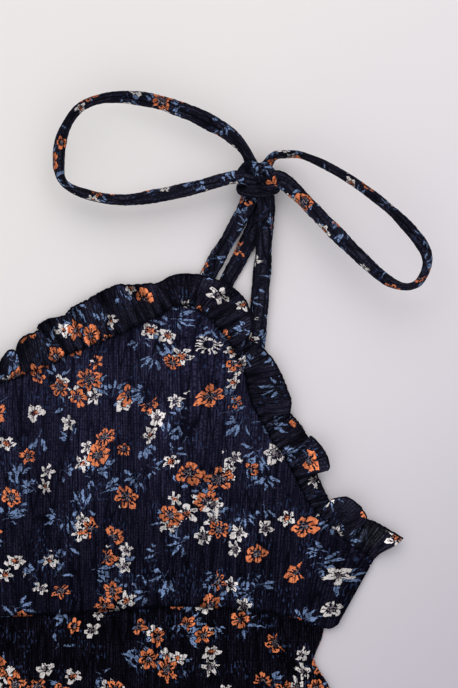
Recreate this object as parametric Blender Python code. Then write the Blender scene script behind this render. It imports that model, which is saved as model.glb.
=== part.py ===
"""An a-line dress with a frilled neckline and tie straps, laid flat with its front up.

+X is the wearer's left, +Y runs from hem to neck and +Z up from the table. The origin
is on the table, at centre front, level with the seam under the bust. Sizes are in
millimetres and become metres when a mesh is made.
"""

import math

import bmesh
import bpy
from mathutils import Vector

MM = 0.001

# Cloth and seams.
WALL = 1.2
SEAM_GAP = 0.3
CLEAR = 0.3

# Heights of the layers, each at the middle of its wall.
BACK_MID = WALL / 2
SIDE_MID = WALL + CLEAR + WALL / 2
FRONT_MID = SIDE_MID + WALL + CLEAR

# Bodice.
CUP_CROWN = 9.0
CUP_CENTRE_SHARE = 0.62
CUP_FULLNESS = 0.7
BACK_TOP = 28.5
BODICE_COLUMNS = 64
BODICE_ROWS = 8
SIDE_DROP_START = 0.86
SIDE_DROP_UP = 0.45
APEX_ALONG = 127.0
APEX_SHARE = 18 / 32

# Skirt.
SKIRT_TUCK = 3.0
SKIRT_LENGTH = 592.0
HEM_CENTRE_Y = -600.2
HEM_SIDE_RISE = 30.0
HEM_CURVE = 2.4
SKIRT_COLUMNS = 40

# Frills.
FRILL_STEP = 3.5
FRILL_ROWS = 3
FRILL_HUMP = 1.4
BACK_FRILL_REACH = 17.0
BACK_FRILL_HALF = 219.0
BACK_FRILL_WAVE = 0.35
BACK_FRILL_COLUMNS = 44

# Tie straps: a tube of cloth pressed flat.
STRAP_WIDTH = 10.5
STRAP_THICK = 2.0
LOOP_STEP = 7.2
HIDDEN_STEP = 12.0

# Knot of the bow.
KNOT_CENTRE = (160.1, 247.2, 8.4)
KNOT_RADII = (10.6, 11.4, 7.0)
KNOT_BAND_THICK = 2.8
KNOT_BAND_PARTS = 16

# The seam between bodice and frill, from centre front over the strap to the side.
FRILL_SEAM = (
    # x, y
    (0.0, 128.5),
    (11.6, 130.8),
    (37.0, 139.5),
    (52.0, 147.0),
    (71.0, 155.0),
    (92.0, 163.6),
    (107.0, 171.3),
    (116.6, 175.9),
    (127.3, 172.8),
    (135.7, 165.4),
    (144.4, 154.3),
    (153.0, 137.2),
    (157.0, 120.2),
    (163.0, 108.4),
    (169.5, 97.2),
    (178.0, 85.3),
    (183.5, 74.5),
    (189.5, 62.5),
    (198.2, 52.5),
    (211.0, 40.2),
    (228.3, 28.0),
)

# The seam under the bust, from centre front to the rounded corner at the side.
WAIST_SEAM = (
    # x, y
    (0.0, -5.2),
    (46.0, -3.5),
    (87.0, -0.6),
    (116.0, 1.2),
    (156.0, -1.2),
    (174.0, -3.5),
    (191.0, -8.1),
    (199.0, -11.2),
    (203.5, -11.6),
    (207.5, -9.3),
)

# Half the skirt's width at each section below its top edge.
SKIRT_SECTIONS = (
    # down, half width
    (0.0, 199.5),
    (7.0, 198.2),
    (15.0, 195.4),
    (22.0, 193.5),
    (28.0, 196.0),
    (38.0, 202.0),
    (62.0, 211.0),
    (110.0, 227.0),
    (190.0, 250.0),
    (290.0, 275.0),
    (400.0, 298.0),
    (500.0, 316.0),
    (592.0, 330.0),
)

# Soft folds of the front skirt, as shares of its half width.
SKIRT_FOLDS = (
    # at the top, at the hem, height, width at the hem
    (-0.78, -0.83, 9.0, 34.0),
    (-0.52, -0.58, 12.5, 42.0),
    (-0.27, -0.26, 8.0, 30.0),
    (-0.05, 0.03, 11.5, 40.0),
    (0.24, 0.30, 9.5, 34.0),
    (0.50, 0.59, 13.0, 44.0),
    (0.79, 0.85, 8.5, 32.0),
)

# Soft folds of the front bodice, as shares of its half width.
BODICE_FOLDS = (
    # at the seam under the bust, at the frill, height, width
    (-0.90, -0.84, 1.6, 15.0),
    (-0.66, -0.70, 1.1, 13.0),
    (-0.45, -0.52, 1.4, 16.0),
    (-0.20, -0.24, 1.2, 14.0),
    (0.04, 0.03, 1.3, 17.0),
    (0.27, 0.32, 1.0, 13.0),
    (0.49, 0.55, 1.7, 15.0),
    (0.70, 0.74, 1.2, 13.0),
    (0.90, 0.85, 1.6, 14.0),
)

# Waves of the frill: how far along the seam its foot is, how far its free edge leans on
# along the seam, how far that edge reaches out from the seam and how high it rises.
FRILL_WAVES = (
    # along, lean, reach, rise
    (0.0, 0.0, 19.5, 1.0),
    (6.0, 1.0, 19.0, 2.5),
    (12.0, 4.0, 15.5, 7.5),
    (18.0, 7.0, 14.0, 10.0),
    (23.0, 4.5, 12.5, 7.5),
    (27.0, 1.0, 16.5, 2.0),
    (33.0, -1.0, 20.5, 1.0),
    (39.0, 3.5, 20.5, 4.5),
    (43.0, 4.0, 20.5, 6.0),
    (47.0, 0.0, 22.5, 2.5),
    (53.0, -1.0, 23.5, 1.0),
    (60.0, 1.5, 21.6, 4.5),
    (67.0, 0.0, 24.0, 1.5),
    (76.0, 1.0, 24.8, 4.5),
    (86.0, 0.0, 26.3, 1.5),
    (97.0, 1.0, 26.2, 5.5),
    (107.0, 0.0, 22.5, 2.0),
    (115.0, 1.0, 18.6, 6.5),
    (122.0, 0.0, 16.2, 4.0),
    (128.0, 0.0, 17.6, 3.0),
    (135.0, 0.0, 19.2, 5.0),
    (144.0, 1.0, 20.8, 3.5),
    (152.0, 3.0, 20.6, 7.0),
    (160.0, 5.0, 17.5, 10.0),
    (165.5, 4.5, 11.5, 9.0),
    (169.5, 0.5, 10.5, 5.0),
    (175.0, 0.0, 14.8, 5.0),
    (183.0, 1.0, 18.6, 6.0),
    (193.0, 1.0, 21.6, 4.0),
    (203.0, 4.5, 21.4, 7.5),
    (210.0, 5.0, 17.0, 8.0),
    (214.5, 0.0, 15.0, 3.5),
    (220.0, -2.0, 17.0, 1.0),
    (228.0, 0.0, 18.2, 1.0),
    (234.0, 2.0, 17.5, 4.0),
    (239.5, 0.5, 19.5, 8.5),
    (245.5, 1.0, 21.6, 10.0),
    (251.0, 2.5, 19.0, 8.0),
    (256.5, -1.5, 12.5, 2.5),
    (264.0, 0.0, 11.5, 1.5),
    (271.0, 3.5, 9.5, 3.5),
    (276.5, 1.5, 11.5, 8.0),
    (282.5, -0.5, 18.8, 10.5),
    (290.0, 2.5, 20.0, 9.5),
    (296.0, 3.0, 17.0, 6.5),
    (301.0, 0.0, 16.5, 2.6),
    (307.0, -1.0, 18.2, 2.0),
    (313.0, 2.0, 19.2, 3.6),
    (318.5, 7.0, 19.8, 3.0),
)

# Routes of the left side's ties, with the width's turn from lying flat, in degrees.
STRAP_FRONT = (
    # x, y, z, turn
    (157.4, 242.0, 7.4, 0.0),
    (155.3, 234.7, 6.7, 6.0),
    (149.6, 223.5, 5.9, 10.0),
    (143.3, 212.4, 4.6, 8.0),
    (137.6, 202.9, 2.7, 4.0),
    (133.9, 195.8, 1.5, 0.0),
    (127.0, 183.0, 1.5, 0.0),
    (120.0, 169.5, 1.7, 0.0),
)
STRAP_BACK = (
    # x, y, z, turn
    (161.0, 238.0, 2.0, 0.0),
    (160.6, 229.0, 1.5, 0.0),
    (158.4, 219.0, 1.4, 0.0),
    (154.6, 211.0, 1.4, 0.0),
    (150.0, 201.8, 1.4, 0.0),
    (144.2, 191.2, 1.4, 0.0),
    (136.0, 172.0, 1.4, 0.0),
    (124.0, 140.0, 1.4, 0.0),
    (110.0, 100.0, 1.4, 0.0),
    (98.5, 60.0, 1.8, 0.0),
    (96.0, 46.0, 2.5, 0.0),
    (95.0, 24.0, 2.5, 0.0),
)
LOOP_INNER = (
    # x, y, z, turn
    (159.0, 250.5, 7.2, 10.0),
    (156.6, 258.8, 11.0, 46.0),
    (153.0, 265.4, 13.4, 50.0),
    (146.7, 272.0, 14.8, 30.0),
    (138.7, 277.6, 16.2, 14.0),
    (121.2, 286.3, 17.6, 12.0),
    (97.4, 293.5, 17.4, 36.0),
    (75.1, 294.8, 16.0, 55.0),
    (59.2, 289.5, 15.0, 64.0),
    (49.6, 276.1, 14.4, 58.0),
    (46.4, 260.1, 14.0, 44.0),
    (48.9, 246.6, 13.6, 64.0),
    (62.4, 239.4, 13.2, 58.0),
    (82.9, 236.1, 13.0, 44.0),
    (103.8, 238.7, 13.2, 34.0),
    (125.9, 243.4, 13.8, 30.0),
    (146.7, 249.0, 13.8, 36.0),
    (160.0, 248.5, 10.8, 8.0),
)
LOOP_OUTER = (
    # x, y, z, turn
    (162.5, 249.5, 5.4, -8.0),
    (166.4, 256.8, 8.2, -52.0),
    (170.6, 261.6, 10.6, -68.0),
    (176.9, 262.5, 12.4, -70.0),
    (186.5, 261.7, 14.4, -70.0),
    (205.3, 252.9, 18.0, -66.0),
    (224.5, 240.1, 21.0, -62.0),
    (240.5, 226.8, 23.2, -56.0),
    (254.9, 210.0, 24.4, -48.0),
    (258.0, 200.0, 24.4, -56.0),
    (253.2, 188.5, 24.0, -72.0),
    (245.4, 185.9, 23.6, -70.0),
    (235.0, 189.8, 22.8, -48.0),
    (219.8, 203.0, 21.0, -32.0),
    (200.7, 222.1, 18.0, -24.0),
    (181.5, 241.9, 14.6, -12.0),
    (172.5, 248.6, 12.4, -4.0),
    (160.5, 247.4, 9.8, 0.0),
)
TIE_UPPER = (
    # x, y, z, turn
    (164.6, 240.0, 10.2, 0.0),
    (165.4, 231.0, 8.6, 4.0),
    (165.2, 222.0, 7.5, 6.0),
    (164.5, 210.8, 6.7, 6.0),
    (164.1, 197.0, 4.9, 4.0),
    (163.3, 182.1, 3.9, 0.0),
    (162.2, 171.1, 3.7, 0.0),
    (161.3, 161.5, 3.7, 0.0),
    (160.2, 149.0, 3.7, 0.0),
)
TIE_LOWER = (
    # x, y, z, turn
    (166.0, 239.0, 5.0, 0.0),
    (166.2, 229.0, 4.3, 0.0),
    (165.2, 219.0, 4.0, 0.0),
    (163.4, 208.0, 3.9, 0.0),
    (161.8, 198.0, 2.2, 0.0),
    (160.2, 182.0, 1.4, 0.0),
    (159.4, 168.0, 1.4, 0.0),
    (158.6, 153.0, 1.4, 0.0),
)
KNOT_BANDS = (
    # name, x, y, z, half span, half height, width, bend of its ends to the neck
    ("top", 158.8, 255.2, 7.9, 9.2, 6.0, 6.4, -1.5),
    ("low", 161.6, 239.4, 8.1, 10.6, 6.2, 8.8, 3.2),
)

CLOTH_COLOURS = {
    # name: red, green, blue, roughness
    "bodice cloth": (0.011, 0.010, 0.026, 0.82),
    "skirt cloth": (0.005, 0.005, 0.010, 0.85),
    "frill cloth": (0.009, 0.008, 0.019, 0.82),
    "strap cloth": (0.010, 0.010, 0.024, 0.80),
}


class Curve:
    """A smooth curve through rows of numbers, read by the distance along it."""

    def __init__(self, rows, knots=None):
        self.rows = [tuple(row) for row in rows]
        self.knots = knots or self.distances()
        self.length = self.knots[-1]

    def distances(self):
        """Give each row its distance from the first, over x, y and z."""
        knots = [0.0]
        for before, after in zip(self.rows, self.rows[1:]):
            step = math.dist(before[:3], after[:3])
            knots.append(knots[-1] + step)
        return knots

    def slope(self, index, column):
        """Give one column's slope at a row from the rows beside it."""
        low = max(index - 1, 0)
        high = min(index + 1, len(self.rows) - 1)
        rise = self.rows[high][column] - self.rows[low][column]
        return rise / (self.knots[high] - self.knots[low])

    def at(self, place):
        """Read every column at a distance along the curve."""
        place = min(max(place, self.knots[0]), self.knots[-1])
        index = 0
        while index < len(self.knots) - 2 and self.knots[index + 1] < place:
            index += 1
        span = self.knots[index + 1] - self.knots[index]
        share = (place - self.knots[index]) / span
        values = []
        for column in range(len(self.rows[0])):
            start = self.rows[index][column]
            end = self.rows[index + 1][column]
            out_slope = self.slope(index, column) * span
            in_slope = self.slope(index + 1, column) * span
            values.append(
                start * (2 * share ** 3 - 3 * share ** 2 + 1)
                + out_slope * (share ** 3 - 2 * share ** 2 + share)
                + end * (3 * share ** 2 - 2 * share ** 3)
                + in_slope * (share ** 3 - share ** 2)
            )
        return values


def keyed_curve(rows):
    """Make a curve that is read by its rows' first column."""
    return Curve([row[1:] for row in rows], [row[0] for row in rows])


def ease(share):
    """Rise from 0 to 1 with level ends."""
    share = min(max(share, 0.0), 1.0)
    return share * share * (3.0 - 2.0 * share)


frill_seam = Curve([(x, y, 0.0) for x, y in FRILL_SEAM])
frill_waves = keyed_curve(FRILL_WAVES)
waist_seam = keyed_curve(WAIST_SEAM)
skirt_half = keyed_curve(SKIRT_SECTIONS)
CORNER_X = WAIST_SEAM[-1][0]
FRILL_LENGTH = FRILL_WAVES[-1][0]


def seam_point(along, out):
    """Give a point on the frill seam, moved out from the bodice, and the seam's heading."""
    x, y, _ = frill_seam.at(along)
    step = 1.0
    before = frill_seam.at(along - step)
    after = frill_seam.at(along + step)
    heading = Vector((after[0] - before[0], after[1] - before[1]))
    if along < step:
        heading = Vector((1.0, 0.0))
    heading.normalize()
    outward = Vector((-heading.y, heading.x))
    point = Vector((x, y)) + outward * out
    return point, heading, outward


def fold_height(folds, across, down, length):
    """Add up the soft ridges of a panel at a place across it and down it."""
    total = 0.0
    for at_start, at_end, height, width in folds:
        centre = at_start + (at_end - at_start) * down
        offset = (across - centre) * length / width
        total += height * math.exp(-offset * offset)
    return total


def bodice_top_along(share):
    """Say how far along the frill seam a column of the bodice ends."""
    if share <= APEX_SHARE:
        return APEX_ALONG * share / APEX_SHARE
    past = (share - APEX_SHARE) / (1.0 - APEX_SHARE)
    return APEX_ALONG + (frill_seam.length - APEX_ALONG) * past


def bodice_level(across, up):
    """Height of the middle of the front bodice's wall: a soft crown over each cup."""
    side = abs(across)
    drop = ease((side - SIDE_DROP_START) / (1.0 - SIDE_DROP_START)) * ease(up / SIDE_DROP_UP)
    edge = FRONT_MID + (SIDE_MID - FRONT_MID) * drop
    rise = math.sin(math.pi * min(max(up, 0.0), 1.0)) ** CUP_FULLNESS
    cup = CUP_CENTRE_SHARE + (1.0 - CUP_CENTRE_SHARE) * math.sin(math.pi * min(side / 0.9, 1.0))
    crown = CUP_CROWN * cup * (1.0 - side ** 5)
    half = waist_seam.knots[-1]
    folds = fold_height(BODICE_FOLDS, across, up, half) * rise * (1.0 - side ** 6)
    return edge + crown * rise + folds


def front_bodice_point(across, up):
    """Place a point of the front bodice, from the lower seam to the frill's seam."""
    side = abs(across)
    sign = -1.0 if across < 0.0 else 1.0
    low = Vector((side * CORNER_X, waist_seam.at(side * CORNER_X)[0]))
    top, _, _ = seam_point(bodice_top_along(side), -SEAM_GAP / 2)
    spot = low.lerp(top, up)
    return Vector((sign * spot.x, spot.y, bodice_level(across, up)))


def front_skirt_point(across, down):
    """Place a point of the front skirt, down from its edge under the bodice."""
    share = down / SKIRT_LENGTH
    half = skirt_half.at(down)[0]
    top = waist_seam.at(abs(across) * SKIRT_SECTIONS[0][1])[0] + SKIRT_TUCK
    hem = HEM_CENTRE_Y + HEM_SIDE_RISE * abs(across) ** HEM_CURVE
    folds = fold_height(SKIRT_FOLDS, across, share, half)
    lift = folds * ease(share * 1.5) * (1.0 - abs(across) ** 8)
    return Vector((across * half, top + (hem - top) * share, SIDE_MID + lift))


def frill_point(along, out):
    """Place a point of the frill: along its foot, and out from 0 there to 1 at its edge."""
    lean, reach, rise = frill_waves.at(along)
    place = along * frill_seam.length / FRILL_LENGTH
    side = bodice_side_share(place)
    columns = BODICE_COLUMNS // 2
    column = min(int(side * columns), columns - 1)
    share = side * columns - column
    edge = front_bodice_point(column / columns, 1.0)
    edge = edge.lerp(front_bodice_point((column + 1) / columns, 1.0), share)
    _, heading, outward = seam_point(place, 0.0)
    spot = edge.xy + outward * (SEAM_GAP + (reach - SEAM_GAP) * out)
    spot += heading * lean * ease(out)
    edge_level = CLEAR + WALL / 2 + rise
    hump = FRILL_HUMP * math.sin(math.pi * out)
    level = edge.z + (edge_level - edge.z) * ease(out) + hump
    return Vector((spot.x, spot.y, level))


def bodice_side_share(place):
    """Say which column of the bodice meets the frill seam at a place along it."""
    if place <= APEX_ALONG:
        return APEX_SHARE * place / APEX_ALONG
    past = (place - APEX_ALONG) / (frill_seam.length - APEX_ALONG)
    return APEX_SHARE + (1.0 - APEX_SHARE) * past


def cloth_material(name):
    """Make the plain finish of one kind of cloth."""
    red, green, blue, roughness = CLOTH_COLOURS[name]
    material = bpy.data.materials.new(name)
    material.use_nodes = True
    shader = material.node_tree.nodes["Principled BSDF"]
    shader.inputs["Base Color"].default_value = (red, green, blue, 1.0)
    shader.inputs["Roughness"].default_value = roughness
    shader.inputs["Metallic"].default_value = 0.0
    return material


def add_object(name, mesh_data, colour):
    """Turn a bmesh, in millimetres, into a named object in metres."""
    bmesh.ops.recalc_face_normals(mesh_data, faces=mesh_data.faces)
    bmesh.ops.scale(mesh_data, vec=(MM, MM, MM), verts=mesh_data.verts)
    mesh = bpy.data.meshes.new(name)
    mesh_data.to_mesh(mesh)
    mesh_data.free()
    mesh.shade_smooth()
    mesh.set_sharp_from_angle(angle=math.radians(50))
    mesh.materials.append(cloth_material(colour))
    made = bpy.data.objects.new(name, mesh)
    bpy.context.collection.objects.link(made)
    return made


def grid_normals(grid):
    """Work out the cloth's own direction at each point of a grid of points."""
    normals = []
    for i, line in enumerate(grid):
        row = []
        for j, _ in enumerate(line):
            along = grid[min(i + 1, len(grid) - 1)][j] - grid[max(i - 1, 0)][j]
            out = line[min(j + 1, len(line) - 1)] - line[max(j - 1, 0)]
            normal = along.cross(out).normalized()
            row.append(normal)
        normals.append(row)
    return normals


def sheet(name, grid, colour, square_wall=False):
    """Give a grid of points a wall, upright all over or square to the cloth past a seam."""
    half = WALL / 2
    normals = grid_normals(grid)
    if normals[0][0].z < 0.0:
        normals = [[-normal for normal in line] for line in normals]
    mesh_data = bmesh.new()
    skins = []
    for turn in (1.0, -1.0):
        skin = []
        for i, (line, line_normals) in enumerate(zip(grid, normals)):
            row = []
            for j, (point, normal) in enumerate(zip(line, line_normals)):
                upright = not square_wall or i == 0 or j == 0
                direction = Vector((0.0, 0.0, 1.0)) if upright else normal
                row.append(mesh_data.verts.new(point + direction * half * turn))
            skin.append(row)
        skins.append(skin)
    upper, lower = skins
    last_i = len(grid) - 1
    last_j = len(grid[0]) - 1
    for i in range(last_i):
        for j in range(last_j):
            for skin in skins:
                corners = (skin[i][j], skin[i + 1][j], skin[i + 1][j + 1], skin[i][j + 1])
                mesh_data.faces.new(corners)
    rim = [(i, 0) for i in range(last_i)]
    rim += [(last_i, j) for j in range(last_j)]
    rim += [(i, last_j) for i in range(last_i, 0, -1)]
    rim += [(0, j) for j in range(last_j, 0, -1)]
    for (i, j), (next_i, next_j) in zip(rim, rim[1:] + rim[:1]):
        mesh_data.faces.new(
            (upper[i][j], upper[next_i][next_j], lower[next_i][next_j], lower[i][j])
        )
    return add_object(name, mesh_data, colour)


def flat_panel(name, outline, colour):
    """Make a flat piece that lies on the table from its outline."""
    mesh_data = bmesh.new()
    floor = [mesh_data.verts.new((x, y, 0.0)) for x, y in outline]
    base = mesh_data.faces.new(floor)
    raised = bmesh.ops.extrude_face_region(mesh_data, geom=[base])
    moved = [item for item in raised["geom"] if isinstance(item, bmesh.types.BMVert)]
    bmesh.ops.translate(mesh_data, verts=moved, vec=(0.0, 0.0, WALL))
    return add_object(name, mesh_data, colour)


def section_points(width, thickness):
    """Give the eight corners of a flat tube's section, across and up."""
    side = width / 2
    flat = side - thickness / 2
    top = thickness / 2
    shoulder = thickness / 4
    return (
        (side, -shoulder),
        (side, shoulder),
        (flat, top),
        (-flat, top),
        (-side, shoulder),
        (-side, -shoulder),
        (-flat, -top),
        (flat, -top),
    )


def tape_rings(rows, sign, step):
    """Sweep a flat tube's section along a route and give its rings of points."""
    route = Curve([(sign * x, y, z, sign * turn) for x, y, z, turn in rows])
    count = max(round(route.length / step), 2)
    rings = []
    for index in range(count + 1):
        place = route.length * index / count
        x, y, z, turn = route.at(place)
        before = Vector(route.at(place - 1.0)[:3])
        after = Vector(route.at(place + 1.0)[:3])
        heading = (after - before).normalized()
        across = heading.cross(Vector((0.0, 0.0, 1.0))).normalized()
        up = across.cross(heading)
        angle = math.radians(turn)
        wide = across * math.cos(angle) + up * math.sin(angle)
        thick = wide.cross(heading)
        centre = Vector((x, y, z))
        corners = section_points(STRAP_WIDTH, STRAP_THICK)
        rings.append([centre + wide * a + thick * b for a, b in corners])
    return rings


def join_rings(mesh_data, rings):
    """Close the sides between one ring of corners and the next."""
    sides = len(rings[0])
    for ring, following in zip(rings, rings[1:]):
        for k in range(sides):
            next_k = (k + 1) % sides
            mesh_data.faces.new((ring[k], ring[next_k], following[next_k], following[k]))


def tape(name, rows, sign, step):
    """Make a flat tube of cloth along a route."""
    mesh_data = bmesh.new()
    rings = []
    for ring in tape_rings(rows, sign, step):
        rings.append([mesh_data.verts.new(point) for point in ring])
    join_rings(mesh_data, rings)
    mesh_data.faces.new(rings[0])
    mesh_data.faces.new(rings[-1])
    return add_object(name, mesh_data, "strap cloth")


def knot_core(name, sign, grow):
    """Make the rounded middle of the knot, grown all round by a clearance."""
    mesh_data = bmesh.new()
    bmesh.ops.create_uvsphere(mesh_data, u_segments=14, v_segments=8, radius=1.0)
    radii = [radius + grow for radius in KNOT_RADII]
    centre = Vector((sign * KNOT_CENTRE[0], KNOT_CENTRE[1], KNOT_CENTRE[2]))
    bmesh.ops.scale(mesh_data, vec=radii, verts=mesh_data.verts)
    bmesh.ops.translate(mesh_data, vec=centre, verts=mesh_data.verts)
    return add_object(name, mesh_data, "strap cloth")


def hide_cutter(cutter):
    """Keep a cutting shape out of the finished part."""
    cutter.hide_render = True
    cutter.display_type = "WIRE"


def add_boolean(target, other, operation):
    """Join or cut one object with another."""
    modifier = target.modifiers.new(operation.lower(), "BOOLEAN")
    modifier.operation = operation
    modifier.solver = "EXACT"
    modifier.object = other


def knot_band(name, sign, row, grow):
    """Make one turn of cloth round the knot, a closed ring over and under its core."""
    _, x, y, z, half_span, half_height, width, bend = row
    mesh_data = bmesh.new()
    rings = []
    for index in range(KNOT_BAND_PARTS):
        angle = 2.0 * math.pi * index / KNOT_BAND_PARTS
        across = math.cos(angle)
        up = math.sin(angle)
        centre = Vector((sign * x + half_span * across, y + bend * across * across,
                         z + half_height * up))
        outward = Vector((across / half_span, 0.0, up / half_height)).normalized()
        ring = []
        for a, b in section_points(width + 2 * grow, KNOT_BAND_THICK + 2 * grow):
            ring.append(mesh_data.verts.new(centre + Vector((0.0, a, 0.0)) + outward * b))
        rings.append(ring)
    join_rings(mesh_data, rings + rings[:1])
    return add_object(name, mesh_data, "strap cloth")


def build_knot(name, sign, grow):
    """Make a bow's knot, a core with two bands round it, grown by a clearance."""
    knot = knot_core(name, sign, grow)
    for row in KNOT_BANDS:
        band = knot_band("%s_band_of_%s" % (row[0], name), sign, row, grow)
        hide_cutter(band)
        add_boolean(knot, band, "UNION")
    return knot


def build_ties(side, sign):
    """Make one side's straps, bow loops, free ends and knot."""
    build_knot("bow_knot_" + side, sign, 0.0)
    room = build_knot("room_for_knot_" + side, sign, CLEAR)
    hide_cutter(room)
    pieces = (
        ("strap_front_", STRAP_FRONT, LOOP_STEP),
        ("strap_back_", STRAP_BACK, HIDDEN_STEP),
        ("bow_inner_", LOOP_INNER, LOOP_STEP),
        ("bow_outer_", LOOP_OUTER, LOOP_STEP),
        ("tie_end_upper_", TIE_UPPER, LOOP_STEP),
        ("tie_end_lower_", TIE_LOWER, HIDDEN_STEP),
    )
    for label, rows, step in pieces:
        strand = tape(label + side, rows, sign, step)
        add_boolean(strand, room, "DIFFERENCE")


def frill_stations():
    """Space the frill's columns so that one meets each column of the bodice."""
    columns = BODICE_COLUMNS // 2
    tops = [bodice_top_along(column / columns) for column in range(columns + 1)]
    stations = []
    for start, end in zip(tops, tops[1:]):
        parts = round((end - start) / FRILL_STEP)
        stations += [start + (end - start) * part / parts for part in range(parts)]
    stations.append(tops[-1])
    return [station * FRILL_LENGTH / frill_seam.length for station in stations]


def build_frill(name, sign):
    """Make the gathered frill of one side, from centre front to under the arm."""
    grid = []
    for along in frill_stations():
        line = []
        for j in range(FRILL_ROWS + 1):
            point = frill_point(along, j / FRILL_ROWS)
            if along == 0.0:
                point.x = SEAM_GAP / 2
            line.append(Vector((sign * point.x, point.y, point.z)))
        grid.append(line)
    return sheet(name, grid, "frill cloth", square_wall=True)


def build_back_frill():
    """Make the frill along the back's top edge, pressed flat under the front."""
    grid = []
    for i in range(BACK_FRILL_COLUMNS + 1):
        across = 2.0 * i / BACK_FRILL_COLUMNS - 1.0
        wave = BACK_FRILL_WAVE * math.sin(i * math.pi / 2)
        foot = BACK_TOP + SEAM_GAP
        reach = BACK_FRILL_REACH + 3.0 * wave
        x = across * BACK_FRILL_HALF
        grid.append([Vector((x, foot + reach * out, BACK_MID)) for out in (0.0, 0.5, 1.0)])
    return sheet("frill_back", grid, "frill cloth")


def build_bodice():
    """Make the front and the back of the bodice."""
    grid = []
    for i in range(BODICE_COLUMNS + 1):
        across = 2.0 * i / BODICE_COLUMNS - 1.0
        line = [front_bodice_point(across, j / BODICE_ROWS) for j in range(BODICE_ROWS + 1)]
        grid.append(line)
    sheet("front_bodice", grid, "bodice cloth")

    steps = 14
    half = []
    for i in range(steps + 1):
        x = CORNER_X * i / steps
        half.append((x, waist_seam.at(x)[0] + SEAM_GAP / 2))
    side_top = FRILL_SEAM[-1][0] - 1.0
    half.append((side_top, BACK_TOP))
    mirrored = [(-x, y) for x, y in reversed(half[1:])]
    flat_panel("back_bodice", half + mirrored, "bodice cloth")


def build_skirt():
    """Make the front and the back of the skirt."""
    grid = []
    for i in range(SKIRT_COLUMNS + 1):
        across = 2.0 * i / SKIRT_COLUMNS - 1.0
        grid.append([front_skirt_point(across, down) for down, _ in SKIRT_SECTIONS])
    sheet("front_skirt", grid, "skirt cloth")

    steps = 16
    top = []
    for i in range(steps + 1):
        x = SKIRT_SECTIONS[0][1] * (1.0 - 2.0 * i / steps)
        top.append((x, waist_seam.at(abs(x))[0] - SEAM_GAP / 2))
    left_side = []
    for down, _ in SKIRT_SECTIONS[2:-1]:
        spot = front_skirt_point(-1.0, down)
        left_side.append((spot.x, spot.y))
    hem = []
    for i in range(steps + 1):
        spot = front_skirt_point(2.0 * i / steps - 1.0, SKIRT_LENGTH)
        hem.append((spot.x, spot.y))
    right_side = [(-x, y) for x, y in reversed(left_side)]
    flat_panel("back_skirt", top + left_side + hem + right_side, "skirt cloth")


def clear_scene():
    """Start from an empty scene."""
    for item in list(bpy.data.objects):
        bpy.data.objects.remove(item, do_unlink=True)


clear_scene()
build_bodice()
build_skirt()
build_frill("frill_left", 1.0)
build_frill("frill_right", -1.0)
build_back_frill()
for side_name, side_sign in (("left", 1.0), ("right", -1.0)):
    build_ties(side_name, side_sign)
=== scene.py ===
"""An a-line dress laid flat: its crinkled, printed cloth, frills, tie straps and light.

+X is the wearer's left, +Y runs from hem to neck and +Z up from the table. Sizes are in
millimetres, as in the part's own source, and become metres when a mesh is made. Values
in metres say so.
"""

import math

import bpy
import numpy as np
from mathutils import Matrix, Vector, noise


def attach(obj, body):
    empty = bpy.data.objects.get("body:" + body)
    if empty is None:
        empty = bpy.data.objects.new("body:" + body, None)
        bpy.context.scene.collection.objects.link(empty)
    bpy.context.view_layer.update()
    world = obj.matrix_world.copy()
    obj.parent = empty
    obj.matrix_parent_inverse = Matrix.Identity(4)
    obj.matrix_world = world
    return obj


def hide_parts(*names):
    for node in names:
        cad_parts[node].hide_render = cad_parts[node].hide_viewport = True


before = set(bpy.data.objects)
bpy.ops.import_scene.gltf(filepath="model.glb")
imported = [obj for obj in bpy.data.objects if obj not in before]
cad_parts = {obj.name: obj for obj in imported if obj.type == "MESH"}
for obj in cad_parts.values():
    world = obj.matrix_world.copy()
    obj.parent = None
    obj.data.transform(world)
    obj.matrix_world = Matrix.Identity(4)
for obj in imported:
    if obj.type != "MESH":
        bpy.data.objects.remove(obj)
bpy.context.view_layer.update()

MM = 0.001

# Cloth: the CAD's wall and the gap between its pieces, and the thickness of what shows.
WALL = 1.2
CLEAR = 0.3
CLOTH = 0.55
SIDE_MID = WALL + CLEAR + WALL / 2
FRONT_MID = SIDE_MID + WALL + CLEAR
RIB_SPACING = 1.5
# A point this far, in millimetres, above the cloth around it gets the full painted light of the
# relief, and this far below it the full painted shade.
RELIEF_FULL = 0.9
SHARP_EDGE = 60.0
# How far a panel's edge turns in at a seam, and over what distance.
SEAM_DIP = 0.9
SEAM_ROUND = 1.1

# Puckers and gathers: how high they are, and how far from their seam they fade.
BODICE_RIDGES = (1.35, 26.0)
BODICE_TOP_PUCKERS = (0.42, 7.0)
BODICE_LOW_PUCKERS = (0.32, 8.0)
SKIRT_RIDGES = (1.4, 30.0)
SKIRT_PUCKERS = (0.34, 26.0)
FRILL_GATHERS = (1.25, 7.5)
FRILL_FINE_GATHERS = (0.5, 14.0)

# Small uneven swells and sways of the crinkled cloth: their size and spacing.
BODICE_SWELLS = (0.45, 4.6)
SKIRT_SWELLS = (0.5, 5.2)
FRILL_SWELLS = (0.95, 3.7)
FRILL_SWAY = (0.8, 6.5)
FRILL_EDGE_SWAY = (0.55, 2.3)
STRAP_SWELLS = (0.30, 2.4)
STRAP_NIPS = (0.42, 1.9)

# Bodice. The cut's height, and the mesh's columns and rows, come last.
CUP_CROWN = 9.0
CUP_CENTRE_SHARE = 0.62
CUP_FULLNESS = 0.7
SIDE_DROP_START = 0.86
SIDE_DROP_UP = 0.45
APEX_ALONG = 127.0
APEX_SHARE = 18 / 32
BODICE_COLUMNS = 260
BODICE_ROWS = 96

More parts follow.
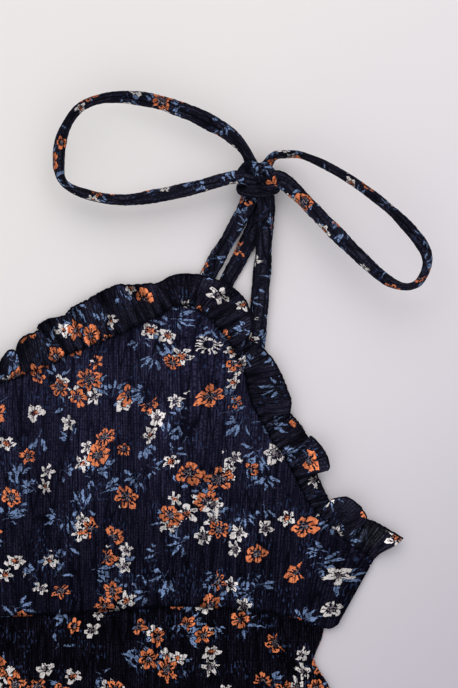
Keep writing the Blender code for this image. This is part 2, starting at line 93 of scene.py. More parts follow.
# Skirt, with the depth of its hem, the hem's step and the width and length of its cut.
SKIRT_TUCK = 3.0
SKIRT_LENGTH = 592.0
HEM_CENTRE_Y = -600.2
HEM_SIDE_RISE = 30.0
HEM_CURVE = 2.4
HEM_DEPTH = 14.0
HEM_STEP = 0.45
SKIRT_COLUMNS = 240
SKIRT_ROWS = 150

# Frills. From TURN_START to TURN_END along it, the wrong side shows past TURN_OUT, and
# beyond them it lies TURN_STEP higher. Its foot dips at the seam. The two frills stop
# short of centre front by half the gap between them.
FRILL_STEP = 0.8
FRILL_ROWS = 24
FRILL_TUCK = 0.09
FRILL_LOWEST = 0.9
FRILL_HUMP = 1.4
FRILL_FULLNESS = 1.25
ROLL_RADIUS = 0.62
TURN_START = 302.5
TURN_END = 313.4
TURN_OUT = 0.26
TURN_STEP = 1.3
FRILL_DIP = 1.1
FRILL_DIP_REACH = 1.3
FRILL_START = CLEAR / 2

# Back, which lies flat on the table.
BACK_LEVEL = 0.75
BACK_TOP = 28.5
BACK_SIDE_INSET = 1.0
BACK_SEAM_GAP = 0.15
BACK_COLUMNS = 120
BACK_BODICE_ROWS = 12
BACK_SKIRT_ROWS = 80
BACK_FRILL_REACH = 17.0
BACK_FRILL_HALF = 219.0
BACK_FRILL_FOOT = BACK_TOP + CLEAR
BACK_FRILL_LEVEL = BACK_LEVEL + 0.15
BACK_ROLL_LEVEL = BACK_LEVEL + 0.05
BACK_FRILL_TUCK = 0.06
BACK_FRILL_COLUMNS = 440
BACK_FRILL_ROWS = 12

# Tie straps, and the width and thickness of the strands in their knots.
STRAP_WIDTH = 9.3
STRAP_THICK = 2.6
STRAP_STEP = 1.1
STRAP_SIDES = 32
STRAP_FLOOR = 0.05
STRAP_PUCKER = 1.60
STRAP_SHIRR = 1.25
TUBE_WALL = 0.35
KNOT_STRAND = (7.2, 3.4)
KNOT_CENTRE = (161.0, 247.4)
KNOT_DRAW = 0.90

# The photo: millimetres a pixel, size in pixels and the pixel of the origin. The camera
# stands this many metres up.
PHOTO_SCALE = 0.58
PHOTO_WIDTH = 458
PHOTO_HEIGHT = 688
ORIGIN_PIXEL = (-20.0, 608.0)
CAMERA_HEIGHT = 1.9

# Where on the printed cloth each piece is cut, in millimetres across and along it.
BODICE_CUT = (105.0, 1072.0)
SKIRT_CUT = (294.0, 232.0)
BACK_CUT = (1300.0, 300.0)
BACK_SKIRT_CUT = (1300.0, -37.0)
FRILL_CUTS = {"left": (37.5, 402.0), "right": (1037.5, 402.0)}
BACK_FRILL_CUT = (2000.0, 900.0)
STRAND_CUTS = {
    "strap_front": (231.0, 393.0),
    "strap_back": (99.0, 72.0),
    "bow_inner": (342.0, 42.0),
    "bow_outer": (450.0, 15.0),
    "tie_end_upper": (162.0, 276.0),
    "tie_end_lower": (105.0, 39.0),
    "knot_left_turn": (390.0, 228.0),
    "knot_right_turn": (387.0, 252.0),
    "knot_low_turn": (123.0, 18.0),
}
RIGHT_SIDE_SHIFT = 700.0
# The bodice's ground is painted darker at the waist seam and paler over this stretch of the cloth
# towards the neck, in metres: painted shade and painted light.
PAINTED_SHADING_REACH = (BODICE_CUT[1] * MM, (BODICE_CUT[1] + 150.0) * MM)

# The print: the spacing and turn of each kind of motif and the radii of its flowers.
PRINT_SIZE = 1.13
FLOWER_SITES = (11.6, 0.42)
FLOWER_RADII = (4.1, 7.6)
PALE_SITES = (8.4, 1.9)
PALE_RADII = (4.4, 6.7)
RAY_RADIUS = 6.4
FLECK_SITES = (4.6, 0.3)
FLECK_RADIUS = 0.62
CROWD_SPACING = 17.0
SPRIG_LAYERS = (
    # spacing, turn, shortest leaf, longest leaf, limit of the draw
    (13.0, 1.15, 8.0, 12.0, -0.36),
    (10.4, 2.6, 6.4, 9.2, -0.50),
)

# Inks, as red, green and blue light.
ORANGE_INK = (0.880, 0.268, 0.108)
CREAM_INK = (0.860, 0.810, 0.760)
BLUE_INK = (0.235, 0.345, 0.570)
DUST_INK = (0.300, 0.250, 0.270)
RUST_INK = (0.420, 0.095, 0.035)
DEEP_BLUE_INK = (0.026, 0.042, 0.095)

# Grounds between the ribs and on them: the paler tone is painted light on the rib crests and the
# darker tone painted shade between them. Then how far the bodice's ground is painted darker towards
# the waist and paler towards the neck, the depth of the cloth's bump, the rolled edge's thread and
# the table's tones, painted darker towards the hem and +X as a painted light falloff.
BODICE_GROUND = ((0.0045, 0.0044, 0.0118), (0.0292, 0.0272, 0.0575))
SKIRT_GROUND = ((0.0011, 0.0010, 0.0024), (0.0115, 0.0098, 0.0190))
FRILL_GROUND = ((0.0048, 0.0046, 0.0090), (0.0255, 0.0242, 0.0420))
STRAP_GROUND = ((0.0052, 0.0052, 0.0102), (0.0310, 0.0302, 0.0510))
WRONG_SIDE_GROUND = ((0.0055, 0.0055, 0.0085), (0.052, 0.053, 0.070))
BODICE_PAINTED_SHADING = (0.56, 1.25)
BUMP_STRENGTH = 0.9
THREAD_TONES = ((0.002, 0.002, 0.005), (0.011, 0.010, 0.020))
TABLE_PAINTED_FALLOFF_TONES = ((0.596, 0.563, 0.598), (0.838, 0.805, 0.808), (0.892, 0.864, 0.822))

# The table's reach each way and its level, in metres.
TABLE_REACH = 6.0
TABLE_LEVEL = -0.0004

# The window's light, in metres, and the pale light from all round.
WINDOW_SIZE = (1.9, 1.4)
WINDOW_ENERGY = 9.6
WINDOW_COLOUR = (1.0, 0.965, 0.945)
WINDOW_PLACE = (0.02, 1.25, 1.12)
WINDOW_AIM = (0.13, 0.12, 0.0)
ROOM_COLOUR = (0.93, 0.93, 1.0, 1.0)
ROOM_STRENGTH = 0.75

# The seam between bodice and frill, from centre front over the strap to the side.
FRILL_SEAM = (
    # x, y
    (0.0, 128.5),
    (11.6, 130.8),
    (37.0, 139.5),
    (52.0, 147.0),
    (71.0, 155.0),
    (92.0, 163.6),
    (107.0, 171.3),
    (116.6, 175.9),
    (127.3, 172.8),
    (135.7, 165.4),
    (144.4, 154.3),
    (153.0, 137.2),
    (157.0, 120.2),
    (163.0, 108.4),
    (169.5, 97.2),
    (178.0, 85.3),
    (183.5, 74.5),
    (189.5, 62.5),
    (198.2, 52.5),
    (211.0, 40.2),
    (228.3, 28.0),
)

# The seam under the bust, from centre front to the rounded corner at the side.
WAIST_SEAM = (
    # x, y
    (0.0, -5.2),
    (46.0, -3.5),
    (87.0, -0.6),
    (116.0, 1.2),
    (156.0, -1.2),
    (174.0, -3.5),
    (191.0, -8.1),
    (199.0, -11.2),
    (203.5, -11.6),
    (207.5, -9.3),
)

# Half the skirt's width at each section below its top edge.
SKIRT_SECTIONS = (
    # down, half width
    (0.0, 199.5),
    (7.0, 198.2),
    (15.0, 195.4),
    (22.0, 193.5),
    (28.0, 196.0),
    (38.0, 202.0),
    (62.0, 211.0),
    (110.0, 227.0),
    (190.0, 250.0),
    (290.0, 275.0),
    (400.0, 298.0),
    (500.0, 316.0),
    (592.0, 330.0),
)

# Soft folds of the front skirt, as shares of its half width.
SKIRT_FOLDS = (
    # at the top, at the hem, height, width at the hem
    (-0.78, -0.83, 9.0, 34.0),
    (-0.52, -0.58, 12.5, 42.0),
    (-0.27, -0.26, 8.0, 30.0),
    (-0.05, 0.03, 11.5, 40.0),
    (0.24, 0.30, 9.5, 34.0),
    (0.50, 0.59, 13.0, 44.0),
    (0.79, 0.85, 8.5, 32.0),
)

# Soft folds of the front bodice, as shares of its half width.
BODICE_FOLDS = (
    # at the seam under the bust, at the frill, height, width
    (-0.90, -0.84, 1.6, 15.0),
    (-0.66, -0.70, 1.1, 13.0),
    (-0.45, -0.52, 1.4, 16.0),
    (-0.20, -0.24, 1.2, 14.0),
    (0.04, 0.03, 1.3, 17.0),
    (0.27, 0.32, 1.0, 13.0),
    (0.49, 0.55, 1.7, 15.0),
    (0.70, 0.74, 1.2, 13.0),
    (0.90, 0.85, 1.6, 14.0),
)

# Waves of the frill: how far along the seam its foot is, how far its free edge leans on
# along the seam, how far that edge reaches out from the seam and how high it rises.
FRILL_WAVES = (
    # along, lean, reach, rise
    (0.0, 0.0, 17.5, 1.0),
    (5.5, 0.5, 13.0, 3.0),
    (10.5, 2.0, 8.8, 3.5),
    (14.5, 6.3, 15.0, 7.5),
    (17.5, 6.7, 15.7, 9.5),
    (20.5, 6.1, 13.6, 8.5),
    (22.8, 3.3, 7.5, 6.0),
    (24.3, 1.5, 6.2, 4.0),
    (26.3, 0.6, 13.5, 2.2),
    (28.8, 0.3, 17.6, 1.5),
    (33.0, 0.8, 20.4, 1.0),
    (39.0, 3.5, 20.5, 4.5),
    (43.0, 4.0, 20.5, 6.0),
    (47.0, 0.0, 22.5, 2.5),
    (53.0, -1.0, 23.5, 1.0),
    (60.0, 1.5, 21.6, 4.5),
    (67.0, 0.0, 24.0, 1.5),
    (76.0, 1.0, 24.8, 4.5),
    (86.0, 0.0, 26.3, 1.5),
    (97.0, 1.0, 26.2, 5.5),
    (107.0, 0.0, 22.5, 2.0),
    (115.0, 1.0, 18.6, 6.5),
    (122.0, 0.0, 16.2, 4.0),
    (128.0, 0.0, 17.6, 3.0),
    (135.0, 0.0, 19.2, 5.0),
    (144.0, 2.6, 22.1, 3.5),
    (152.0, 2.0, 21.2, 7.0),
    (160.0, 2.9, 16.0, 10.0),
    (165.5, 0.5, 10.6, 9.0),
    (169.5, -2.3, 9.5, 5.0),
    (175.0, -2.4, 14.2, 5.0),
    (183.0, 1.0, 18.6, 6.0),
    (193.0, 1.0, 21.6, 4.0),
    (203.0, 5.0, 21.4, 7.5),
    (210.0, 6.0, 17.0, 8.0),
    (214.5, -1.5, 15.0, 3.5),
    (220.0, -2.0, 17.0, 1.0),
    (228.0, 0.0, 18.2, 1.0),
    (234.5, 3.5, 17.5, 3.0),
    (239.5, -3.0, 19.5, 8.5),
    (245.5, 1.0, 21.6, 10.0),
    (251.0, 4.5, 19.0, 8.0),
    (256.0, -2.5, 12.5, 2.5),
    (264.0, 0.0, 11.5, 1.5),
    (272.0, 4.5, 10.0, 3.5),
    (277.0, -1.5, 12.0, 8.0),
    (282.5, -1.5, 18.8, 10.5),
    (290.0, 2.5, 20.0, 9.5),
    (296.0, 4.5, 17.0, 6.5),
    (301.0, -1.5, 16.5, 2.6),
    (307.0, -1.0, 18.2, 2.0),
    (313.0, 2.0, 19.2, 3.6),
    (318.5, 7.0, 19.8, 3.0),
)

# Routes of the left side's ties, with the width's turn from lying flat, in degrees.
STRAP_FRONT = (
    # x, y, z, turn
    (157.4, 242.0, 7.4, 0.0),
    (155.3, 234.7, 6.7, 6.0),
    (149.6, 223.5, 5.9, 10.0),
    (143.3, 212.4, 4.6, 8.0),
    (137.6, 202.9, 2.7, 4.0),
    (133.9, 195.8, 1.5, 0.0),
    (127.0, 183.0, 1.5, 0.0),
    (120.0, 169.5, 1.7, 0.0),
)
STRAP_BACK = (
    # x, y, z, turn
    (161.0, 238.0, 2.0, 0.0),
    (160.6, 229.0, 1.5, 0.0),
    (158.4, 219.0, 1.4, 0.0),
    (154.6, 211.0, 1.4, 0.0),
    (150.0, 201.8, 1.4, 0.0),
    (144.2, 191.2, 1.4, 0.0),
    (136.0, 172.0, 1.4, 0.0),
    (124.0, 140.0, 1.4, 0.0),
    (110.0, 100.0, 1.4, 0.0),
    (98.5, 60.0, 1.8, 0.0),
    (96.0, 46.0, 2.5, 0.0),
    (95.0, 24.0, 2.5, 0.0),
)
LOOP_INNER = (
    # x, y, z, turn
    (159.0, 250.5, 7.2, 10.0),
    (156.6, 258.8, 11.0, 46.0),
    (153.0, 265.4, 13.4, 50.0),
    (146.7, 272.0, 14.8, 30.0),
    (138.7, 277.6, 16.2, 14.0),
    (121.2, 286.3, 17.6, 12.0),
    (97.4, 293.5, 17.4, 36.0),
    (75.1, 294.8, 16.0, 55.0),
    (59.2, 289.5, 15.0, 64.0),
    (49.6, 276.1, 14.4, 58.0),
    (46.4, 260.1, 14.0, 44.0),
    (48.9, 246.6, 13.6, 64.0),
    (62.4, 239.4, 13.2, 58.0),
    (82.9, 236.1, 13.0, 44.0),
    (103.8, 238.7, 13.2, 34.0),
    (125.9, 243.4, 13.8, 30.0),
    (146.7, 249.0, 13.8, 36.0),
    (160.0, 248.5, 10.8, 8.0),
)
LOOP_OUTER = (
    # x, y, z, turn
    (162.5, 249.5, 5.4, -8.0),
    (166.4, 256.8, 8.2, -52.0),
    (170.6, 261.6, 10.6, -68.0),
    (176.9, 262.5, 12.4, -70.0),
    (186.5, 261.7, 14.4, -70.0),
    (205.3, 252.9, 18.0, -66.0),
    (224.5, 240.1, 21.0, -62.0),
    (240.5, 226.8, 23.2, -56.0),
    (254.9, 210.0, 24.4, -48.0),
    (258.0, 200.0, 24.4, -56.0),
    (253.2, 188.5, 24.0, -72.0),
    (245.4, 185.9, 23.6, -70.0),
    (235.0, 189.8, 22.8, -48.0),
    (219.8, 203.0, 21.0, -32.0),
    (200.7, 222.1, 18.0, -24.0),
    (181.5, 241.9, 14.6, -12.0),
    (172.5, 248.6, 12.4, -4.0),
    (160.5, 247.4, 9.8, 0.0),
)
TIE_UPPER = (
    # x, y, z, turn
    (164.6, 240.0, 10.2, 0.0),
    (165.4, 231.0, 8.6, 4.0),
    (165.2, 222.0, 7.5, 6.0),
    (164.5, 210.8, 6.7, 6.0),
    (164.1, 197.0, 4.9, 4.0),
    (163.3, 182.1, 3.9, 0.0),
    (162.2, 171.1, 3.7, 0.0),
    (161.3, 161.5, 3.7, 0.0),
    (160.2, 149.0, 3.7, 0.0),
)
TIE_LOWER = (
    # x, y, z, turn
    (166.0, 239.0, 5.0, 0.0),
    (166.2, 229.0, 4.3, 0.0),
    (165.4, 219.0, 4.0, 0.0),
    (164.2, 208.0, 3.9, 0.0),
    (163.3, 198.0, 2.2, 0.0),
    (162.0, 182.0, 1.4, 0.0),
    (161.0, 168.0, 1.4, 0.0),
    (159.6, 153.0, 1.4, 0.0),
)

# Turns of cloth that make up the knot: the route of each one's middle.
KNOT_TURNS = {
    "knot_left_turn": (
        # x, y, z, turn
        (164.0, 246.0, 4.0, 0.0),
        (155.0, 243.5, 5.0, -30.0),
        (150.6, 247.0, 8.0, -70.0),
        (151.6, 253.0, 11.8, -30.0),
        (156.0, 256.4, 13.4, 0.0),
        (160.6, 254.6, 12.6, 20.0),
        (162.6, 249.5, 9.0, 40.0),
    ),
    "knot_right_turn": (
        # x, y, z, turn
        (158.0, 248.0, 8.0, 0.0),
        (161.5, 254.5, 12.4, 10.0),
        (166.0, 255.4, 12.8, 20.0),
        (170.0, 251.0, 11.2, 30.0),
        (171.6, 245.6, 8.0, 20.0),
        (168.0, 241.5, 4.6, 0.0),
    ),
    "knot_low_turn": (
        # x, y, z, turn
        (158.0, 246.0, 3.4, 0.0),
        (151.6, 243.6, 5.2, 40.0),
        (151.2, 241.2, 9.0, 40.0),
        (156.0, 240.4, 13.2, 10.0),
        (162.0, 240.0, 14.4, 0.0),
        (168.0, 240.8, 13.2, -10.0),
        (172.2, 242.6, 9.4, -40.0),
        (171.2, 244.6, 5.2, -40.0),
        (165.0, 247.0, 3.4, 0.0),
    ),
}


class Curve:
    """A smooth curve through rows of numbers, read by the distance along it."""

    def __init__(self, rows, knots=None):
        self.rows = [tuple(row) for row in rows]
        self.knots = knots or self.distances()
        self.length = self.knots[-1]

    def distances(self):
        """Give each row its distance from the first, over x, y and z."""
        knots = [0.0]
        for before, after in zip(self.rows, self.rows[1:]):
            knots.append(knots[-1] + math.dist(before[:3], after[:3]))
        return knots

    def slope(self, index, column):
        """Give one column's slope at a row from the rows beside it."""
        low = max(index - 1, 0)
        high = min(index + 1, len(self.rows) - 1)
        rise = self.rows[high][column] - self.rows[low][column]
        return rise / (self.knots[high] - self.knots[low])

    def at(self, place):
        """Read every column at a distance along the curve."""
        place = min(max(place, self.knots[0]), self.knots[-1])
        index = 0
        while index < len(self.knots) - 2 and self.knots[index + 1] < place:
            index += 1
        span = self.knots[index + 1] - self.knots[index]
        share = (place - self.knots[index]) / span
        values = []
        for column in range(len(self.rows[0])):
            start = self.rows[index][column]
            end = self.rows[index + 1][column]
            values.append(
                start * (2 * share ** 3 - 3 * share ** 2 + 1)
                + self.slope(index, column) * span * (share ** 3 - 2 * share ** 2 + share)
                + end * (3 * share ** 2 - 2 * share ** 3)
                + self.slope(index + 1, column) * span * (share ** 3 - share ** 2)
            )
        return values


def keyed_curve(rows):
    """Make a curve that is read by its rows' first column."""
    return Curve([row[1:] for row in rows], [row[0] for row in rows])


def ease(share):
    """Rise from 0 to 1 with level ends."""
    share = min(max(share, 0.0), 1.0)
    return share * share * (3.0 - 2.0 * share)


frill_seam = Curve([(x, y, 0.0) for x, y in FRILL_SEAM])
frill_waves = keyed_curve(FRILL_WAVES)
waist_seam = keyed_curve(WAIST_SEAM)
skirt_half = keyed_curve(SKIRT_SECTIONS)
CORNER_X = WAIST_SEAM[-1][0]
FRILL_LENGTH = FRILL_WAVES[-1][0]


def seam_point(along):
    """Give a point on the frill seam, the seam's heading and the way out of the bodice."""
    x, y, _ = frill_seam.at(along)
    before = frill_seam.at(along - 1.0)
    after = frill_seam.at(along + 1.0)
    heading = Vector((after[0] - before[0], after[1] - before[1]))
    if along < 1.0:
        heading = Vector((1.0, 0.0))
    heading.normalize()
    return Vector((x, y)), heading, Vector((-heading.y, heading.x))


def fold_height(folds, across, down, length):
    """Add up the soft ridges of a panel at a place across it and down it."""
    total = 0.0
    for at_start, at_end, height, width in folds:
        centre = at_start + (at_end - at_start) * down
        offset = (across - centre) * length / width
        total += height * math.exp(-offset * offset)
    return total


def bodice_top_along(share):
    """Say how far along the frill seam a column of the bodice ends."""
    if share <= APEX_SHARE:
        return APEX_ALONG * share / APEX_SHARE
    past = (share - APEX_SHARE) / (1.0 - APEX_SHARE)
    return APEX_ALONG + (frill_seam.length - APEX_ALONG) * past


def bodice_side_share(place):
    """Say which column of the bodice meets the frill seam at a place along it."""
    if place <= APEX_ALONG:
        return APEX_SHARE * place / APEX_ALONG
    past = (place - APEX_ALONG) / (frill_seam.length - APEX_ALONG)
    return APEX_SHARE + (1.0 - APEX_SHARE) * past


def bodice_level(across, up):
    """Height of the middle of the front bodice's wall: a soft crown over each cup."""
    side = abs(across)
    drop = ease((side - SIDE_DROP_START) / (1.0 - SIDE_DROP_START)) * ease(up / SIDE_DROP_UP)
    edge = FRONT_MID + (SIDE_MID - FRONT_MID) * drop
    rise = math.sin(math.pi * min(max(up, 0.0), 1.0)) ** CUP_FULLNESS
    cup = CUP_CENTRE_SHARE + (1.0 - CUP_CENTRE_SHARE) * math.sin(math.pi * min(side / 0.9, 1.0))
    crown = CUP_CROWN * cup * (1.0 - side ** 5)
    half = waist_seam.knots[-1]
    folds = fold_height(BODICE_FOLDS, across, up, half) * rise * (1.0 - side ** 6)
    return edge + crown * rise + folds


def front_bodice_point(across, up):
    """Place a point of the front bodice, from the lower seam to the frill's seam."""
    side = abs(across)
    sign = -1.0 if across < 0.0 else 1.0
    low = Vector((side * CORNER_X, waist_seam.at(side * CORNER_X)[0]))
    top, _, _ = seam_point(bodice_top_along(side))
    spot = low.lerp(top, up)
    rise = spot.y - low.y
    inside = ease(up * 9.0) * ease((1.0 - up) * 9.0) * (1.0 - side ** 8)
    puckers = crumple(sign * spot.x, 0.3 * spot.y, BODICE_SWELLS, 1.0) * inside
    ridges = gather_ridges(sign * spot.x, 1.0) * fading(BODICE_RIDGES, rise)
    puckers += ridges * (1.0 - side ** 8)
    return Vector((sign * spot.x, spot.y, bodice_level(across, up) + puckers))


def front_skirt_point(across, down):
    """Place a point of the front skirt, down from its edge under the bodice."""
    share = down / SKIRT_LENGTH
    half = skirt_half.at(down)[0]
    top = waist_seam.at(abs(across) * SKIRT_SECTIONS[0][1])[0] + SKIRT_TUCK
    hem = HEM_CENTRE_Y + HEM_SIDE_RISE * abs(across) ** HEM_CURVE
    folds = fold_height(SKIRT_FOLDS, across, share, half)
    lift = folds * ease(share * 1.5) * (1.0 - abs(across) ** 8)
    gathers = gather_ridges(across * half, 1.4) * fading(SKIRT_RIDGES, down)
    swells = crumple(across * half, 0.25 * down, SKIRT_SWELLS, 2.0) + 0.5 * SKIRT_SWELLS[0]
    gathers += swells * ease(down / 40.0)
    lift += gathers * ease((down - 2.2) / 6.0) * (1.0 - abs(across) ** 8)
    return Vector((across * half, top + (hem - top) * share, SIDE_MID + lift))


def crumple(x, y, swells, seed):
    """Give smooth uneven noise of a size and spacing, above and below nought."""
    size, spacing = swells
    return size * noise.noise(Vector((x / spacing, y / spacing, 7.31 * seed + 0.5)))


def fading(puckers, from_seam):
    """Give the height of puckers that fade away from their seam."""
    height, reach = puckers
    return height * math.exp(-from_seam / reach)


def gather_ridges(x, seed):
    """Give uneven upright ridges along the waist seam, from 0 to 1."""
    sway = 1.9 * math.sin(x / 23.0 + seed) + 1.1 * math.sin(x / 9.1 + 2.0 * seed)
    strength = 0.6 + 0.4 * math.sin(x / 31.0 + 3.0 * seed)
    return strength * (0.5 + 0.5 * math.sin(2.0 * math.pi * x / 8.7 + sway))


def seam_pucker(along, seed):
    """Give uneven small puckers along a gathered seam, from -1 to 1."""
    sway = 1.7 * math.sin(along / 11.3 + seed) + 0.9 * math.sin(along / 4.7 + 2.0 * seed)
    strength = 0.62 + 0.38 * math.sin(along / 13.9 + 3.0 * seed)
    return strength * math.sin(2.0 * math.pi * along / 5.6 + sway)


def frill_point(along, out, seed):
    """Place a point of the frill: along its foot, and out from 0 there to 1 at its edge."""
    lean, reach, rise = frill_waves.at(along)
    place = along * frill_seam.length / FRILL_LENGTH
    edge = front_bodice_point(bodice_side_share(place), 1.0)
    _, heading, outward = seam_point(place)
    spot = edge.xy + outward * reach * out
    spot += heading * lean * ease(out)
    edge_level = CLEAR + WALL / 2 + rise
    hump = FRILL_HUMP * math.sin(math.pi * min(max(out, 0.0), 1.0))
    from_seam = max(out, 0.0) * reach
    gathers = seam_pucker(along, seed) * fading(FRILL_GATHERS, from_seam)
    gathers += seam_pucker(along * 1.7, seed + 5.0) * fading(FRILL_FINE_GATHERS, from_seam)
    if along > TURN_END:
        gathers += TURN_STEP * ease((along - TURN_END) / 1.2) * ease(out * 3.0)
    level = edge.z + (edge_level - edge.z) * ease(out) + hump
    level += gathers * ease((out * reach + 1.5) / 3.0)
    free = ease(out * 2.5)
    level += (crumple(along, out * reach * 0.5, FRILL_SWELLS, seed) + 0.35) * free
    spot += heading * crumple(along, out * reach * 0.4, FRILL_SWAY, seed + 2.0) * free
    sway = crumple(along, 0.0, FRILL_EDGE_SWAY, seed + 4.0)
    spot += outward * sway * ease((out - 0.6) / 0.4)
    dip = FRILL_DIP * math.exp(-((out * reach) / FRILL_DIP_REACH) ** 2)
    return Vector((spot.x, spot.y, max(level - dip, FRILL_LOWEST)))


class Cloth:
    """Collects the faces of one piece of cloth, with each corner's place on the flat cut."""

    def __init__(self):
        self.points = []
        self.faces = []
        self.places = []
        self.finish = []
        self.relief = []

    def add_points(self, grid, relief=0.0):
        """Add a grid of points, with their relief, and give their numbers."""
        start = len(self.points)
        rows, columns = grid.shape[:2]
        self.points.extend(grid.reshape(-1, 3).tolist())
        self.relief.extend(np.broadcast_to(relief, (rows, columns)).ravel().tolist())
        return np.arange(start, start + rows * columns).reshape(rows, columns)

    def add_faces(self, numbers, places, finish, turn_over=False):
        """Join a grid of point numbers by faces, in one finish or a grid of them."""
        finish = np.broadcast_to(finish, (numbers.shape[0] - 1, numbers.shape[1] - 1))
        for i in range(numbers.shape[0] - 1):
            for j in range(numbers.shape[1] - 1):
                corners = ((i, j), (i + 1, j), (i + 1, j + 1), (i, j + 1))
                if turn_over:
                    corners = corners[::-1]
                self.faces.append([int(numbers[c]) for c in corners])
                self.places.extend([places[c] for c in corners])
                self.finish.append(int(finish[i, j]))

    def add_sheet(self, grid, places, wall, face=0, back=1, rim=0, reach=(5, 5)):
        """Add a thin closed shell round a grid of points, upper side in one finish."""
        normals = grid_normals(grid)
        relief = cloth_relief(grid, reach)
        upper = self.add_points(grid + normals * wall / 2, relief)
        lower = self.add_points(grid - normals * wall / 2, -relief)
        self.add_faces(upper, places, face)
        self.add_faces(lower, places, back, turn_over=True)
        sides = (
            (upper[0], lower[0], places[0], True),
            (upper[-1], lower[-1], places[-1], False),
            (upper[:, 0], lower[:, 0], places[:, 0], False),
            (upper[:, -1], lower[:, -1], places[:, -1], True),
        )
        for top, bottom, side_places, turn_over in sides:
            numbers = np.stack([top, bottom])
            self.add_faces(numbers, np.stack([side_places, side_places]), rim, turn_over)

    def add_tube(self, rings, inner, places, finish=0):
        """Add a tube of cloth with an outer and an inner skin, open at both ends."""
        outer_numbers = close_round(self.add_points(rings))
        inner_numbers = close_round(self.add_points(inner))
        self.add_faces(outer_numbers, places, finish)
        self.add_faces(inner_numbers, places, finish, turn_over=True)
        for end, turn_over in ((0, True), (-1, False)):
            numbers = np.stack([outer_numbers[end], inner_numbers[end]])
            self.add_faces(numbers, np.stack([places[end], places[end]]), finish, turn_over)

    def make(self, name, materials):
        """Make the finished object."""
        mesh = bpy.data.meshes.new(name)
        mesh.from_pydata([[c * MM for c in point] for point in self.points], [], self.faces)
        uv = mesh.uv_layers.new(name="cloth")
        uv.data.foreach_set("uv", (np.array(self.places, dtype=float) * MM).ravel())
        for material in materials:
            mesh.materials.append(material)
        mesh.polygons.foreach_set("material_index", self.finish)
        relief = mesh.attributes.new("relief", "FLOAT", "POINT")
        relief.data.foreach_set("value", self.relief)
        mesh.shade_smooth()
        mesh.set_sharp_from_angle(angle=math.radians(SHARP_EDGE))
        mesh.update()
        made = bpy.data.objects.new(name, mesh)
        bpy.context.collection.objects.link(made)
        return made


def close_round(numbers):
    """Repeat the first column of point numbers after the last."""
    return np.concatenate([numbers, numbers[:, :1]], axis=1)


def cloth_relief(grid, reach):
    """Say how far each point stands above the cloth around it, from -1 to 1. The materials darken
    the colour by it in hollows, as painted shade, and lighten it on rises, as painted light.
    """
    level = grid[..., 2]
    mean = level
    for axis in (0, 1, 0, 1):
        size = 2 * reach[axis] + 1
        pad = [(0, 0), (0, 0)]
        pad[axis] = (reach[axis], reach[axis])
        padded = np.pad(mean, pad, mode="reflect")
        shifted = [np.take(padded, range(k, k + mean.shape[axis]), axis=axis) for k in range(size)]
        mean = sum(shifted) / size
    return np.clip((level - mean) / RELIEF_FULL, -1.0, 1.0)


def grid_normals(grid):
    """Work out the cloth's upper side at each point of a grid of points."""
    along = np.gradient(grid, axis=0)
    out = np.gradient(grid, axis=1)
    normals = np.cross(along, out)
    normals /= np.maximum(np.linalg.norm(normals, axis=2, keepdims=True), 1e-9)
    return normals


def finish_piece(piece, node=None):
    """Put a piece on the dress's one body, and in a CAD node's place if one is named."""
    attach(piece, "root")
    if node:
        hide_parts(node)


def turn_outward(grid, *beside):
    """Order a grid, and what goes with its points, so that its upper side looks up."""
    arrays = [np.array(rows) for rows in (grid, *beside)]
    if grid_normals(arrays[0])[..., 2].mean() < 0.0:
        return [array[::-1] for array in arrays]
    return arrays


def make_panel(name, grid, places, materials, face_down=False):
    """Make a panel from its grid, with the printed side up or towards the table."""
    grid, places = turn_outward(grid, places)
    cloth = Cloth()
    cloth.add_sheet(grid, places, CLOTH, face=int(face_down), back=int(not face_down))
    return cloth.make(name, materials)


def build_front_bodice(materials):
    """The front bodice: crowned cups, rounded edges at both seams and puckers there."""
    grid = []
    places = []
    for i in range(BODICE_COLUMNS + 1):
        across = 2.0 * i / BODICE_COLUMNS - 1.0
        along = bodice_top_along(abs(across))
        tall = (front_bodice_point(across, 1.0) - front_bodice_point(across, 0.0)).length
        line = []
        for j in range(BODICE_ROWS + 1):
            # The rows stand closer together towards both seams.
            up = 0.5 - 0.5 * math.cos(math.pi * j / BODICE_ROWS)
            up = 0.45 * up + 0.55 * j / BODICE_ROWS
            point = front_bodice_point(across, up)
            from_top = (1.0 - up) * tall
            from_low = up * tall
            point.z -= SEAM_DIP * math.exp(-(from_top / SEAM_ROUND) ** 2)
            point.z -= SEAM_DIP * math.exp(-(from_low / SEAM_ROUND) ** 2)
            puckers = seam_pucker(along, 4.0) * fading(BODICE_TOP_PUCKERS, from_top)
            point.z += puckers * ease(from_top / 2.0)
            puckers = seam_pucker(across * CORNER_X, 9.0) * fading(BODICE_LOW_PUCKERS, from_low)
            point.z += puckers * ease(from_low / 2.0)
            line.append(point)
        grid.append(line)
        u = across * CORNER_X + BODICE_CUT[0]
        places.append([(u, point.y + BODICE_CUT[1]) for point in line])
    piece = make_panel("bodice_front", grid, places, materials)
    finish_piece(piece, "front_bodice")


def build_front_skirt(materials):
    """The front skirt with its soft folds, gathers under the bust and a narrow hem."""
    grid = []
    places = []
    for i in range(SKIRT_COLUMNS + 1):
        across = 2.0 * i / SKIRT_COLUMNS - 1.0
        inside = 1.0 - abs(across) ** 10
        line = []
        for j in range(SKIRT_ROWS + 1):
            down = SKIRT_LENGTH * (j / SKIRT_ROWS) ** 1.35
            point = front_skirt_point(across, down)
            puckers = seam_pucker(across * CORNER_X, 6.0) * fading(SKIRT_PUCKERS, down)
            point.z += puckers * inside * ease((down - 2.0) / 5.0)
            from_hem = SKIRT_LENGTH - down
            point.z += HEM_STEP * inside * ease(from_hem / 2.0) * ease((HEM_DEPTH - from_hem) / 1.5)
            line.append(point)
        grid.append(line)
        places.append([(point.x + SKIRT_CUT[0], point.y + SKIRT_CUT[1]) for point in line])
    piece = make_panel("skirt_front", grid, places, materials)
    finish_piece(piece, "front_skirt")


